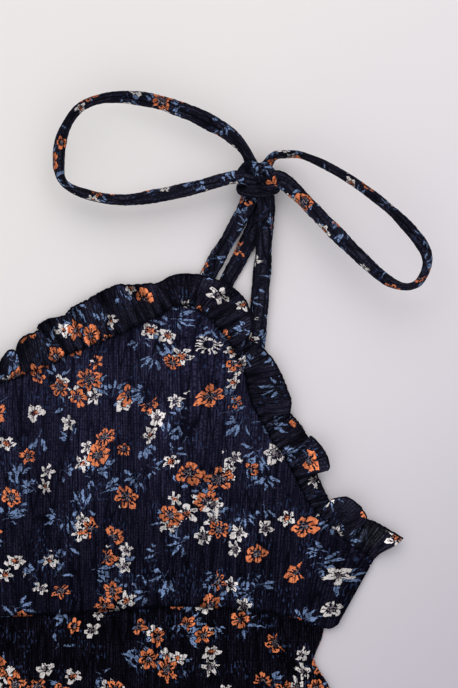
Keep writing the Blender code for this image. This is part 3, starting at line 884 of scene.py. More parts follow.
def build_frill(name, node, sign, seed, cut, materials, edge_material):
    """One side's gathered frill with its rolled edge, from centre front to under the arm."""
    count = round(FRILL_LENGTH / FRILL_STEP)
    grid = []
    places = []
    finish = []
    edge = []
    for i in range(count + 1):
        along = FRILL_LENGTH * i / count
        reach = frill_waves.at(along)[1]
        for j in range(FRILL_ROWS + 1):
            out = (1.0 + FRILL_TUCK) * j / FRILL_ROWS - FRILL_TUCK
            point = frill_point(along, out, seed)
            if i == 0:
                point.x = FRILL_START
            grid.append((sign * point.x, point.y, point.z))
            places.append((sign * along * FRILL_FULLNESS + cut[0], out * reach + cut[1]))
            finish.append(int(TURN_START < along < TURN_END and out > TURN_OUT))
        point = frill_point(along, 1.0, seed)
        edge.append((sign * max(point.x, FRILL_START), point.y, point.z))
    shape = (count + 1, FRILL_ROWS + 1)
    grid = np.array(grid).reshape(*shape, 3)
    places = np.array(places).reshape(*shape, 2)
    finish = np.array(finish).reshape(*shape)[:-1, :-1]
    grid, places, finish = turn_outward(grid, places, finish)
    cloth = Cloth()
    cloth.add_sheet(grid, places, CLOTH, face=finish, reach=(5, 2))
    piece = cloth.make(name, materials)
    roll = round_tube(name + "_rolled_edge", np.array(edge), ROLL_RADIUS, edge_material)
    finish_piece(piece, node)
    finish_piece(roll)


def round_tube(name, path, radius, material, sides=10):
    """Make a thin round roll along a path."""
    heading = np.gradient(path, axis=0)
    heading /= np.maximum(np.linalg.norm(heading, axis=1, keepdims=True), 1e-9)
    across = np.cross(heading, np.array([0.0, 0.0, 1.0]))
    across /= np.maximum(np.linalg.norm(across, axis=1, keepdims=True), 1e-9)
    up = np.cross(across, heading)
    lengths = np.concatenate([[0.0], np.cumsum(np.linalg.norm(np.diff(path, axis=0), axis=1))])
    angles = np.linspace(0.0, 2.0 * math.pi, sides, endpoint=False)
    uneven = 1.0 + 0.22 * np.sin(lengths * 2.9) * np.sin(lengths * 0.83 + 1.0)
    uneven += 0.12 * np.sin(lengths * 5.3 + 2.0)
    around = (np.cos(angles)[None, :, None] * across[:, None]
              + np.sin(angles)[None, :, None] * up[:, None])
    rings = path[:, None] + radius * uneven[:, None, None] * around
    cloth = Cloth()
    numbers = close_round(cloth.add_points(rings))
    round_places = np.linspace(0.0, 2.0 * math.pi * radius, sides + 1)
    places = np.stack([np.broadcast_to(round_places, (len(path), sides + 1)),
                       np.broadcast_to(lengths[:, None], (len(path), sides + 1))], axis=2)
    cloth.add_faces(numbers, places, 0)
    for end, flip in ((0, False), (-1, True)):
        middle = len(cloth.points)
        cloth.points.append(path[end].tolist())
        cloth.relief.append(0.0)
        for k in range(sides):
            corner = [middle, int(numbers[end][k]), int(numbers[end][k + 1])]
            cloth.faces.append(corner[::-1] if flip else corner)
            cloth.places.extend([(0.0, 0.0)] * 3)
            cloth.finish.append(0)
    return cloth.make(name, [material])


def strap_section(sides, width, thickness, creases):
    """Give a pressed tube's section: a flat oval, thinned a little towards both edges."""
    angles = np.linspace(0.0, 2.0 * math.pi, sides, endpoint=False)
    across = np.sign(np.cos(angles)) * np.abs(np.cos(angles)) ** 0.62 * width / 2
    up = np.sign(np.sin(angles)) * np.abs(np.sin(angles)) ** 0.85 * thickness / 2
    up = up * (1.0 - creases * np.cos(angles) ** 4 * 0.4)
    return across, up


def strap_rings(rows, sign, width, thickness, step, seed):
    """Sweep a pressed tube along a route, with small uneven creases."""
    route = Curve([(sign * x, y, z, sign * turn) for x, y, z, turn in rows])
    count = max(round(route.length / step), 8)
    outer = []
    inner = []
    for index in range(count + 1):
        place = route.length * index / count
        x, y, z, turn = route.at(place)
        before = Vector(route.at(place - 1.0)[:3])
        after = Vector(route.at(place + 1.0)[:3])
        heading = (after - before).normalized()
        across = heading.cross(Vector((0.0, 0.0, 1.0))).normalized()
        up = across.cross(heading)
        angle = math.radians(turn)
        wide = across * math.cos(angle) + up * math.sin(angle)
        thick = wide.cross(heading)
        breadth = width * (1.0 + 0.05 * math.sin(place / 7.3 + seed) + 0.03 * math.sin(place / 3.1))
        swell = thickness * (1.0 + 0.18 * math.sin(place / 5.1 + 2.0 * seed))
        nip = [crumple(place, 40.0 * side, STRAP_NIPS, seed) for side in (-1.0, 1.0)]
        for skin, inset in ((outer, 0.0), (inner, TUBE_WALL)):
            a, b = strap_section(STRAP_SIDES, breadth - 2 * inset, swell - 2 * inset, 0.5)
            inward = 1.0 - (2.0 * a / breadth) ** 2
            creases = 0.20 * np.cos(a * 2.7 + 1.6 * math.sin(place / 11.0 + seed))
            creases *= 0.6 + 0.4 * math.sin(place / 6.3 + 3.0 * seed)
            swells = np.array([crumple(place, 1.3 * spot, STRAP_SWELLS, seed + 3.0) for spot in a])
            b = b + (creases + swells) * np.maximum(inward, 0.0) * np.sign(b + 0.01)
            a = a + np.where(a > 0.0, nip[1], -nip[0]) * (2.0 * a / breadth) ** 2
            ring = np.array((x, y, z)) + a[:, None] * np.array(wide) + b[:, None] * np.array(thick)
            ring[:, 2] = np.maximum(ring[:, 2], STRAP_FLOOR + inset)
            skin.append(ring)
    return np.array(outer), np.array(inner), route.length


def build_strand(name, node, rows, sign, seed, cut, material, section=(STRAP_WIDTH, STRAP_THICK)):
    """One strand of the tie: a turned tube of cloth, pressed flat."""
    width, thickness = section
    outer, inner, length = strap_rings(rows, sign, width, thickness, STRAP_STEP, seed)
    u = np.linspace(0.0, 2.0 * width * STRAP_PUCKER, STRAP_SIDES + 1) + cut[0]
    v = np.linspace(0.0, length * STRAP_SHIRR, len(outer)) + cut[1]
    places = np.stack(np.broadcast_arrays(u[None, :], v[:, None]), axis=2)
    cloth = Cloth()
    cloth.add_tube(outer, inner, places)
    piece = cloth.make(name, [material])
    finish_piece(piece, node)


def build_ties(side, sign, seed, material):
    """One side's straps, bow loops, free ends and knot."""
    strands = (
        ("strap_front", STRAP_FRONT),
        ("strap_back", STRAP_BACK),
        ("bow_inner", LOOP_INNER),
        ("bow_outer", LOOP_OUTER),
        ("tie_end_upper", TIE_UPPER),
        ("tie_end_lower", TIE_LOWER),
    )
    shift = 0.0 if side == "left" else RIGHT_SIDE_SHIFT
    cuts = {label: (u + shift, v) for label, (u, v) in STRAND_CUTS.items()}
    for index, (label, rows) in enumerate(strands):
        build_strand(label + "_cloth_" + side, label + "_" + side, rows, sign,
                     seed + 3.7 * index + 6.0, cuts[label], material)
    for index, (label, rows) in enumerate(KNOT_TURNS.items()):
        node = "bow_knot_" + side if label == "knot_low_turn" else None
        drawn = [(KNOT_CENTRE[0] + KNOT_DRAW * (x - KNOT_CENTRE[0]),
                  KNOT_CENTRE[1] + KNOT_DRAW * (y - KNOT_CENTRE[1]), z, turn)
                 for x, y, z, turn in rows]
        build_strand(label + "_" + side, node, drawn, sign, seed + 2.9 * index + 31.0,
                     cuts[label], material, section=KNOT_STRAND)


def face_down_places(grid, cut):
    """Place a panel that lies face down on the printed cloth, seen from its face."""
    return np.array(grid)[..., :2] * np.array([-1.0, 1.0]) + np.array(cut)


def build_back_bodice(materials):
    """The low back bodice, flat on the table and face down."""
    side_top = FRILL_SEAM[-1][0] - BACK_SIDE_INSET
    grid = []
    for i in range(BACK_COLUMNS + 1):
        across = 2.0 * i / BACK_COLUMNS - 1.0
        low = Vector((across * CORNER_X, 0.0, BACK_LEVEL))
        low.y = waist_seam.at(abs(low.x))[0] + BACK_SEAM_GAP
        high = Vector((across * side_top, BACK_TOP, BACK_LEVEL))
        grid.append([low.lerp(high, j / BACK_BODICE_ROWS) for j in range(BACK_BODICE_ROWS + 1)])
    places = face_down_places(grid, BACK_CUT)
    piece = make_panel("bodice_back", grid, places, materials, face_down=True)
    finish_piece(piece, "back_bodice")


def build_back_skirt(materials):
    """The back skirt in the front one's outline, flat on the table and face down."""
    grid = []
    for i in range(BACK_COLUMNS + 1):
        across = 2.0 * i / BACK_COLUMNS - 1.0
        line = []
        for j in range(BACK_SKIRT_ROWS + 1):
            down = SKIRT_LENGTH * (j / BACK_SKIRT_ROWS) ** 1.2
            point = front_skirt_point(across, down)
            drop = (SKIRT_TUCK + BACK_SEAM_GAP) * (1.0 - ease(down / 30.0))
            line.append((point.x, point.y - drop, BACK_LEVEL))
        grid.append(line)
    places = face_down_places(grid, BACK_SKIRT_CUT)
    piece = make_panel("skirt_back", grid, places, materials, face_down=True)
    finish_piece(piece, "back_skirt")


def build_back_frill(materials, edge_material):
    """The narrow frill along the back's top, with its rolled edge."""
    grid = []
    places = []
    edge = []
    for i in range(BACK_FRILL_COLUMNS + 1):
        across = 2.0 * i / BACK_FRILL_COLUMNS - 1.0
        x = across * BACK_FRILL_HALF
        reach = BACK_FRILL_REACH + 0.9 * math.sin(across * 31.0) + 0.5 * math.sin(across * 74.0)
        line = []
        spots = []
        for j in range(BACK_FRILL_ROWS + 1):
            out = (1.0 + BACK_FRILL_TUCK) * j / BACK_FRILL_ROWS - BACK_FRILL_TUCK
            lift = 0.16 * seam_pucker(x, 2.0) * math.exp(-max(out, 0.0) * 2.0)
            line.append((x, BACK_FRILL_FOOT + reach * out, BACK_FRILL_LEVEL + lift))
            spots.append((x * FRILL_FULLNESS + BACK_FRILL_CUT[0], out * reach + BACK_FRILL_CUT[1]))
        grid.append(line)
        places.append(spots)
        edge.append((x, BACK_FRILL_FOOT + reach, BACK_ROLL_LEVEL))
    piece = make_panel("frill_back_cloth", grid, places, materials, face_down=True)
    roll = round_tube("frill_back_rolled_edge", np.array(edge), ROLL_RADIUS * 0.9, edge_material)
    finish_piece(piece, "frill_back")
    finish_piece(roll)


class Wiring:
    """Adds nodes to one tree and joins them up."""

    def __init__(self, tree):
        self.tree = tree

    def node(self, kind, **settings):
        """Add a node with its settings."""
        made = self.tree.nodes.new(kind)
        for setting, value in settings.items():
            setattr(made, setting, value)
        return made

    def feed(self, socket, value):
        """Join an output to a socket, or set the socket to a plain value."""
        if isinstance(value, bpy.types.NodeSocket):
            self.tree.links.new(value, socket)
        else:
            socket.default_value = value

    def math(self, operation, *values, clamp=False):
        """Add one sum and give its result."""
        made = self.node("ShaderNodeMath", operation=operation, use_clamp=clamp)
        for socket, value in zip(made.inputs, values):
            self.feed(socket, value)
        return made.outputs[0]

    def vector(self, operation, *values):
        """Add one sum of vectors and give its result."""
        made = self.node("ShaderNodeVectorMath", operation=operation)
        for socket, value in zip(made.inputs, values):
            self.feed(socket, value)
        return made.outputs["Value" if operation in ("LENGTH", "DOT_PRODUCT") else "Vector"]

    def scaled(self, vector, factor):
        """Make a vector longer or shorter."""
        made = self.node("ShaderNodeVectorMath", operation="SCALE")
        self.feed(made.inputs[0], vector)
        self.feed(made.inputs["Scale"], factor)
        return made.outputs["Vector"]

    def turned(self, vector, angle):
        """Turn a vector in the plane of the cloth."""
        made = self.node("ShaderNodeVectorRotate", rotation_type="Z_AXIS")
        self.feed(made.inputs["Vector"], vector)
        self.feed(made.inputs["Angle"], angle)
        return made.outputs["Vector"]

    def split(self, vector):
        """Give a vector's x, y and z."""
        made = self.node("ShaderNodeSeparateXYZ")
        self.feed(made.inputs[0], vector)
        return tuple(made.outputs)

    def join(self, x, y, z=0.0):
        """Make a vector of x, y and z."""
        made = self.node("ShaderNodeCombineXYZ")
        for socket, value in zip(made.inputs, (x, y, z)):
            self.feed(socket, value)
        return made.outputs[0]

    def noise(self, vector, scale, detail=0.0, colour=False):
        """Add soft noise over the cloth."""
        made = self.node("ShaderNodeTexNoise", noise_dimensions="2D")
        self.feed(made.inputs["Vector"], vector)
        made.inputs["Scale"].default_value = scale
        made.inputs["Detail"].default_value = detail
        return made.outputs["Color" if colour else "Fac"]

    def wobble(self, vector, size, spacing):
        """Push a place about by up to a size, over a spacing."""
        noise_at = self.noise(vector, 1.0 / spacing, colour=True)
        push = self.vector("SUBTRACT", noise_at, (0.5, 0.5, 0.5))
        flat = self.vector("MULTIPLY", push, (4.0 * size, 4.0 * size, 0.0))
        return self.vector("ADD", vector, flat)

    def within(self, value, limit):
        """Give 1 where a value is below its limit."""
        return self.math("LESS_THAN", value, limit)

    def beyond(self, value, limit):
        """Give 1 where a value is above its limit."""
        return self.math("GREATER_THAN", value, limit)

    def all_of(self, *masks):
        """Keep what every mask covers."""
        made = masks[0]
        for mask in masks[1:]:
            made = self.math("MULTIPLY", made, mask)
        return made

    def any_of(self, *masks):
        """Keep what one of the masks covers."""
        made = masks[0]
        for mask in masks[1:]:
            made = self.math("MAXIMUM", made, mask)
        return made

    def outside(self, mask):
        """Turn a mask over."""
        return self.math("SUBTRACT", 1.0, mask, clamp=True)

    def ripple(self, phase):
        """Turn a phase into a wave from 0 to 1."""
        return self.math("MULTIPLY_ADD", self.math("SINE", phase), 0.5, 0.5)

    def stretched_noise(self, cloth, across, along):
        """Add noise with its own scale across and along the cloth."""
        return self.noise(self.vector("MULTIPLY", cloth, (across, along, 1.0)), 1.0)

    def smooth_range(self, value, start, end, low=0.0, high=1.0):
        """Rise smoothly from one value to another over a range."""
        made = self.node("ShaderNodeMapRange", interpolation_type="SMOOTHSTEP")
        self.feed(made.inputs["Value"], value)
        for label, limit in zip(("From Min", "From Max", "To Min", "To Max"),
                                (start, end, low, high)):
            made.inputs[label].default_value = limit
        return made.outputs[0]

    def scatter(self, cloth, sites, looseness):
        """Scatter motifs over the cloth at a spacing and turn."""
        return use_group(self, "motif places", cloth=cloth, spacing=sites[0], turn=sites[1],
                         looseness=looseness)

    def fresh(self, pick, step):
        """Draw another random number from one between 0 and 1."""
        return self.math("FRACT", self.math("MULTIPLY", pick, step))

    def span(self, pick, low, high):
        """Spread a random number over a range."""
        made = self.node("ShaderNodeMapRange")
        self.feed(made.inputs["Value"], pick)
        made.inputs["To Min"].default_value = low
        made.inputs["To Max"].default_value = high
        return made.outputs[0]

    def paint(self, mask, under, over):
        """Lay one colour over another where the mask says."""
        made = self.node("ShaderNodeMix", data_type="RGBA")
        self.feed(made.inputs[0], mask)
        for socket, value in ((made.inputs[6], under), (made.inputs[7], over)):
            self.feed(socket, (*value, 1.0) if isinstance(value, tuple) else value)
        return made.outputs[2]


def new_group(name, inputs, outputs):
    """Start a node group, and give its wiring, its inputs and its output node."""
    group = bpy.data.node_groups.new(name, "ShaderNodeTree")
    for label, kind, value in inputs:
        made = group.interface.new_socket(label, in_out="INPUT", socket_type="NodeSocket" + kind)
        made.default_value = value
    for label, kind in outputs:
        group.interface.new_socket(label, in_out="OUTPUT", socket_type="NodeSocket" + kind)
    wiring = Wiring(group)
    return wiring, wiring.node("NodeGroupInput").outputs, wiring.node("NodeGroupOutput").inputs


def use_group(wiring, name, **values):
    """Place a node group, feed its inputs and give its outputs."""
    made = wiring.node("ShaderNodeGroup", node_tree=bpy.data.node_groups[name])
    for label, value in values.items():
        wiring.feed(made.inputs[label.replace("_", " ").capitalize()], value)
    return made.outputs


def motif_places_group():
    """Scatter places over the cloth, each with its own random numbers."""
    w, given, out = new_group(
        "motif places",
        (("Cloth", "Vector", (0, 0, 0)), ("Spacing", "Float", 14.0), ("Turn", "Float", 0.0),
         ("Looseness", "Float", 0.3)),
        (("From middle", "Vector"), ("Middle", "Vector"), ("Pick a", "Float"),
         ("Pick b", "Float"), ("Pick c", "Float")),
    )
    turned = w.turned(given["Cloth"], given["Turn"])
    share = w.math("DIVIDE", 1.0, given["Spacing"])
    cells = w.node("ShaderNodeTexVoronoi", voronoi_dimensions="2D", feature="F1")
    placed = w.scaled(turned, share)
    w.feed(cells.inputs["Vector"], placed)
    cells.inputs["Scale"].default_value = 1.0
    w.feed(cells.inputs["Randomness"], given["Looseness"])
    middle = cells.outputs["Position"]
    w.feed(out["From middle"], w.scaled(w.vector("SUBTRACT", placed, middle), given["Spacing"]))
    back = w.math("MULTIPLY", given["Turn"], -1.0)
    w.feed(out["Middle"], w.turned(w.scaled(middle, given["Spacing"]), back))
    colour = w.node("ShaderNodeSeparateColor")
    w.feed(colour.inputs[0], cells.outputs["Color"])
    for label, socket in zip(("Pick a", "Pick b", "Pick c"), colour.outputs):
        w.feed(out[label], socket)


def flower_group():
    """One flower: uneven petals with dark gaps and dashes, and a speckled middle."""
    w, given, out = new_group(
        "flower",
        (("Place", "Vector", (0, 0, 0)), ("Radius", "Float", 6.0), ("Petals", "Float", 6.0),
         ("Sharpness", "Float", 0.5), ("Openness", "Float", 0.5), ("Gap", "Float", 0.43),
         ("Seed", "Float", 0.0)),
        (("Petals", "Float"), ("Middle", "Float"), ("Whole", "Float")),
    )
    x, y, _ = w.split(given["Place"])
    far = w.vector("LENGTH", given["Place"])
    radius = given["Radius"]
    share = w.math("DIVIDE", far, radius)
    angle = w.math("ARCTAN2", y, x)
    around = w.math("MULTIPLY", angle, w.math("MULTIPLY", given["Petals"], 0.5))
    crest = w.math("ABSOLUTE", w.math("COSINE", around))
    trough = w.math("ABSOLUTE", w.math("SINE", around))
    petal = w.math("ROUND", w.math("DIVIDE", around, math.pi))
    petal = w.math("ABSOLUTE", w.math("ADD", petal, 0.1))
    uneven = w.node("ShaderNodeTexWhiteNoise", noise_dimensions="1D")
    w.feed(uneven.inputs["W"], w.math("MULTIPLY_ADD", given["Seed"], 71.0, w.math("FLOOR", petal)))
    length = w.span(uneven.outputs["Value"], 0.80, 1.06)
    sharp = given["Sharpness"]
    swell = w.math("POWER", crest, w.math("MULTIPLY_ADD", sharp, 2.4, 0.4))
    base = w.math("MULTIPLY_ADD", sharp, -0.26, 0.62)
    reach = w.math("MULTIPLY", length,
                   w.math("ADD", base, w.math("MULTIPLY", swell, w.math("SUBTRACT", 1.04, base))))
    inside = w.within(share, reach)
    step = w.math("DIVIDE", w.math("MULTIPLY", far, 2.0), given["Petals"])
    from_gap = w.math("MULTIPLY", step, crest)
    from_rib = w.math("MULTIPLY", step, trough)
    heart = w.span(given["Openness"], 0.32, 0.56)
    gap = w.all_of(w.within(from_gap, given["Gap"]), w.beyond(share, heart))
    dash = w.all_of(w.within(from_rib, given["Gap"]), w.within(share, w.math("ADD", heart, 0.24)))
    notch = w.all_of(w.within(from_rib, 0.36), w.beyond(share, w.math("SUBTRACT", reach, 0.16)))
    heart_dark = w.all_of(w.within(share, heart), w.within(w.noise(given["Place"], 1.05), 0.60))
    dark = w.any_of(gap, dash, w.all_of(notch, w.beyond(uneven.outputs["Value"], 0.45)), heart_dark)
    middle = w.within(share, w.math("MULTIPLY", heart, 0.72))
    w.feed(out["Petals"], w.all_of(inside, w.outside(dark), w.outside(middle)))
    w.feed(out["Middle"], w.all_of(middle, w.beyond(w.noise(given["Place"], 1.5), 0.56)))
    w.feed(out["Whole"], w.within(w.math("SUBTRACT", share, w.math("DIVIDE", 0.75, radius)), reach))


def ray_flower_group():
    """One flower of thin rays round an open middle."""
    w, given, out = new_group(
        "ray flower",
        (("Place", "Vector", (0, 0, 0)), ("Radius", "Float", 7.0), ("Rays", "Float", 14.0)),
        (("Rays", "Float"),),
    )
    x, y, _ = w.split(given["Place"])
    far = w.vector("LENGTH", given["Place"])
    share = w.math("DIVIDE", far, given["Radius"])
    around = w.math("MULTIPLY", w.math("ARCTAN2", y, x), w.math("MULTIPLY", given["Rays"], 0.5))
    from_ray = w.math("MULTIPLY", far, w.math("ABSOLUTE", w.math("SINE", around)))
    wide = w.math("DIVIDE", w.math("MULTIPLY", from_ray, 2.0), given["Rays"])
    ray = w.all_of(w.within(wide, w.math("MULTIPLY_ADD", share, 0.42, 0.06)), w.within(share, 1.0),
                   w.beyond(share, 0.36))
    w.feed(out["Rays"], ray)


def leaf_fan_group():
    """A sprig: a fan of separate pointed leaves, each with a paler core."""
    w, given, out = new_group(
        "leaf fan",
        (("Place", "Vector", (0, 0, 0)), ("Reach", "Float", 6.0), ("Spread", "Float", 0.5),
         ("Seed", "Float", 0.0)),
        (("Leaves", "Float"), ("Cores", "Float")),
    )
    x, y, _ = w.split(given["Place"])
    moved = w.math("ADD", x, w.math("MULTIPLY", given["Reach"], 0.5))
    angle = w.math("ARCTAN2", y, moved)
    far = w.vector("LENGTH", w.join(moved, y))
    leaf = w.math("ROUND", w.math("DIVIDE", angle, given["Spread"]))
    leaf = w.math("MAXIMUM", w.math("MINIMUM", leaf, 2.0), -2.0)
    uneven = w.node("ShaderNodeTexWhiteNoise", noise_dimensions="1D")
    w.feed(uneven.inputs["W"], w.math("MULTIPLY_ADD", given["Seed"], 53.0, leaf))
    luck = uneven.outputs["Value"]
    lean = w.math("MULTIPLY", w.math("SUBTRACT", luck, 0.5), 0.22)
    off = w.math("SUBTRACT", w.math("SUBTRACT", angle, w.math("MULTIPLY", leaf, given["Spread"])),
                 lean)
    across = w.math("ABSOLUTE", w.math("MULTIPLY", far, w.math("SINE", off)))
    along = w.math("MULTIPLY", far, w.math("COSINE", off))
    reach = w.math("MULTIPLY", given["Reach"], w.span(w.fresh(luck, 9.7), 0.72, 1.14))
    start = w.math("MULTIPLY_ADD", w.math("ABSOLUTE", leaf), 0.5, 1.9)
    share = w.math("DIVIDE", w.math("SUBTRACT", along, start), w.math("SUBTRACT", reach, start))
    share = w.math("MINIMUM", w.math("MAXIMUM", share, 0.0), 1.0)
    bend = w.math("POWER", share, 0.75)
    half = w.math("MULTIPLY", w.math("SINE", w.math("MULTIPLY", bend, math.pi)),
                  w.span(w.fresh(luck, 5.3), 0.60, 1.08))
    shown = w.beyond(luck, 0.24)
    leaves = w.all_of(w.within(across, w.math("SUBTRACT", half, 0.04)), shown)
    rib = w.all_of(w.within(across, 0.12), w.within(share, 0.70), w.beyond(half, 0.66))
    cores = w.all_of(w.within(across, w.math("SUBTRACT", half, 0.20)), shown, w.outside(rib))
    stem = w.all_of(w.within(w.math("ABSOLUTE", y), 0.15), w.within(moved, 1.6),
                    w.beyond(moved, -2.4))
    w.feed(out["Leaves"], w.any_of(leaves, stem))
    w.feed(out["Cores"], cores)


def orange_flowers(w, drift, ragged):
    """Orange flowers on a loose lattice, two or three together where it is crowded."""
    sites = w.scatter(drift, FLOWER_SITES, 0.34)
    pick_a, pick_b, pick_c = (sites[label] for label in ("Pick a", "Pick b", "Pick c"))
    crowd = w.noise(sites["Middle"], 1.0 / CROWD_SPACING)
    shown = w.within(w.math("MULTIPLY_ADD", crowd, -1.5, pick_a), -0.575)
    place = w.turned(w.vector("ADD", sites["From middle"], ragged),
                     w.math("MULTIPLY", pick_b, 2.0 * math.pi))
    squeeze = w.span(w.fresh(pick_b, 17.7), 1.0, 1.36)
    place = w.vector("MULTIPLY", place, w.join(1.0, squeeze, 1.0))
    flower = use_group(w, "flower", place=place,
                       radius=w.span(w.math("POWER", w.fresh(pick_c, 23.9), 0.7), *FLOWER_RADII),
                       petals=w.math("FLOOR", w.span(w.fresh(pick_c, 11.3), 5.0, 6.9)),
                       sharpness=w.math("MULTIPLY", w.fresh(pick_c, 5.7), 0.7),
                       openness=w.fresh(pick_b, 7.9), seed=pick_c)
    half = w.math("ABSOLUTE", w.math("ARCTAN2", *reversed(w.split(place)[:2])))
    whole_round = w.any_of(w.within(half, 1.9), w.beyond(w.fresh(pick_b, 29.3), 0.30))
    bloom = w.all_of(shown, whole_round)
    return [w.all_of(bloom, flower[part]) for part in ("Petals", "Middle", "Whole")]


def cream_flowers(w, drift, ragged, free):
    """Cream flowers, some of thin rays, that run into each other in short upright rows."""
    sites = w.scatter(drift, PALE_SITES, 0.42)
    pick_a, pick_b, pick_c = (sites[label] for label in ("Pick a", "Pick b", "Pick c"))
    rows = w.stretched_noise(sites["Middle"], 1 / 9.5, 1 / 21.0)
    shown = w.within(w.math("MULTIPLY_ADD", rows, -2.6, pick_a), -1.37)
    place = w.turned(w.vector("ADD", sites["From middle"], w.scaled(ragged, 1.15)),
                     w.math("MULTIPLY", pick_b, 2.0 * math.pi))
    squeeze = w.span(w.fresh(pick_b, 13.7), 1.0, 1.5)
    place = w.vector("MULTIPLY", place, w.join(1.0, squeeze, 1.0))
    flower = use_group(w, "flower", place=place, petals=5.0, gap=0.22,
                       radius=w.span(w.fresh(pick_c, 7.7), *PALE_RADII),
                       sharpness=w.span(w.fresh(pick_c, 19.1), 0.45, 1.0),
                       openness=w.span(w.fresh(pick_c, 31.7), -0.5, 0.55), seed=pick_c)
    is_rays = w.all_of(w.within(w.fresh(pick_a, 91.3), 0.05), shown)
    rays = use_group(w, "ray flower", place=place, radius=RAY_RADIUS)
    bloom = w.all_of(shown, w.outside(is_rays), free)
    petals = w.any_of(w.all_of(bloom, flower["Petals"]), w.all_of(is_rays, rays["Rays"], free))
    middles = w.all_of(bloom, flower["Middle"])
    room = w.all_of(free, w.outside(w.all_of(bloom, flower["Whole"])))
    warm = w.within(w.fresh(pick_c, 43.9), 0.5)
    return petals, middles, room, warm


def sprigs(w, drift, ragged, spacing, turn, short, long, limit):
    """One layer of sprigs: their leaves, and the leaves' pale cores."""
    sites = w.scatter(drift, (spacing, turn), 0.4)
    hanging = w.within(w.fresh(sites["Pick a"], 37.3), 0.28)
    heading = w.math("MULTIPLY_ADD", hanging, math.pi, w.span(sites["Pick b"], -2.45, -0.70))
    place = w.turned(w.vector("ADD", sites["From middle"], ragged), heading)
    fan = use_group(w, "leaf fan", place=place, reach=w.span(sites["Pick c"], short, long),
                    spread=w.span(w.fresh(sites["Pick b"], 13.1), 0.46, 0.74),
                    seed=sites["Pick c"])
    crowd = w.noise(sites["Middle"], 1.0 / CROWD_SPACING)
    shown = w.within(w.math("MULTIPLY_ADD", crowd, -1.5, sites["Pick a"]), limit)
    return w.all_of(shown, fan["Leaves"]), w.all_of(shown, fan["Cores"])


def flower_print_group():
    """The whole print: leaves below, flowers on top, the cloth's ground between."""
    w, given, out = new_group(
        "small flower print",
        (("Cloth", "Vector", (0, 0, 0)), ("Ground", "Color", (0.01, 0.01, 0.02, 1))),
        (("Color", "Color"), ("Ink", "Float")),
    )
    cloth = w.scaled(given["Cloth"], 1.0 / (MM * PRINT_SIZE))
    drift = w.wobble(cloth, 2.4, 58.0)
    # Each rib of the cloth carries its strip of the print a little up or down.
    rib = w.node("ShaderNodeTexWhiteNoise", noise_dimensions="1D")
    w.feed(rib.inputs["W"], w.math("FLOOR", w.math("DIVIDE", w.split(cloth)[0], RIB_SPACING)))
    slip = w.join(0.0, w.span(rib.outputs["Value"], -0.34, 0.34))
    ragged = w.vector("SUBTRACT", w.wobble(w.wobble(cloth, 0.30, 2.4), 0.22, 0.95), cloth)
    ragged = w.vector("ADD", ragged, slip)

    petals, middles, wholes = orange_flowers(w, drift, ragged)
    pale_petals, pale_middles, room, warm = cream_flowers(w, drift, ragged, w.outside(wholes))
    layers = [sprigs(w, drift, ragged, *layer) for layer in SPRIG_LAYERS]
    wear_and_rib_shade = w.within(w.noise(cloth, 1 / 1.1), 0.70)
    leaves, cores = (w.all_of(w.any_of(*masks), room, wear_and_rib_shade) for masks in zip(*layers))

    # Small touches of deep blue between the leaves, and a few cream flecks.
    leafy = w.noise(cloth, 1.0 / CROWD_SPACING)
    touches = w.all_of(w.beyond(w.stretched_noise(cloth, 1 / 0.9, 1 / 2.6), 0.71),
                       w.beyond(leafy, 0.52), room)
    flecks = w.scatter(cloth, FLECK_SITES, 1.0)
    fleck_place = w.vector("ADD", flecks["From middle"], w.scaled(ragged, 1.8))
    fleck = w.within(w.vector("LENGTH", fleck_place), FLECK_RADIUS)
    fleck = w.all_of(fleck, w.within(flecks["Pick a"], 0.012), room)

    shade = w.span(w.noise(cloth, 1 / 2.2), -0.2, 1.7)
    leaf_ink = w.paint(shade, DEEP_BLUE_INK, tuple(0.5 * c for c in BLUE_INK))
    core_ink = w.paint(shade, tuple(0.45 * c for c in BLUE_INK), BLUE_INK)
    rim = w.math("MAXIMUM", w.span(w.noise(cloth, 1 / 1.7), -1.5, 1.5), 0.0)
    inks = (
        (touches, DEEP_BLUE_INK),
        (leaves, leaf_ink),
        (cores, core_ink),
        (w.any_of(fleck, pale_petals), CREAM_INK),
        (pale_middles, w.paint(warm, DUST_INK, ORANGE_INK)),
        (petals, w.paint(rim, ORANGE_INK, RUST_INK)),
        (middles, DUST_INK),
    )
    colour = given["Ground"]
    for mask, ink in inks:
        colour = w.paint(mask, colour, ink)
    w.feed(out["Color"], colour)
    w.feed(out["Ink"], w.any_of(*(mask for mask, _ in inks)))


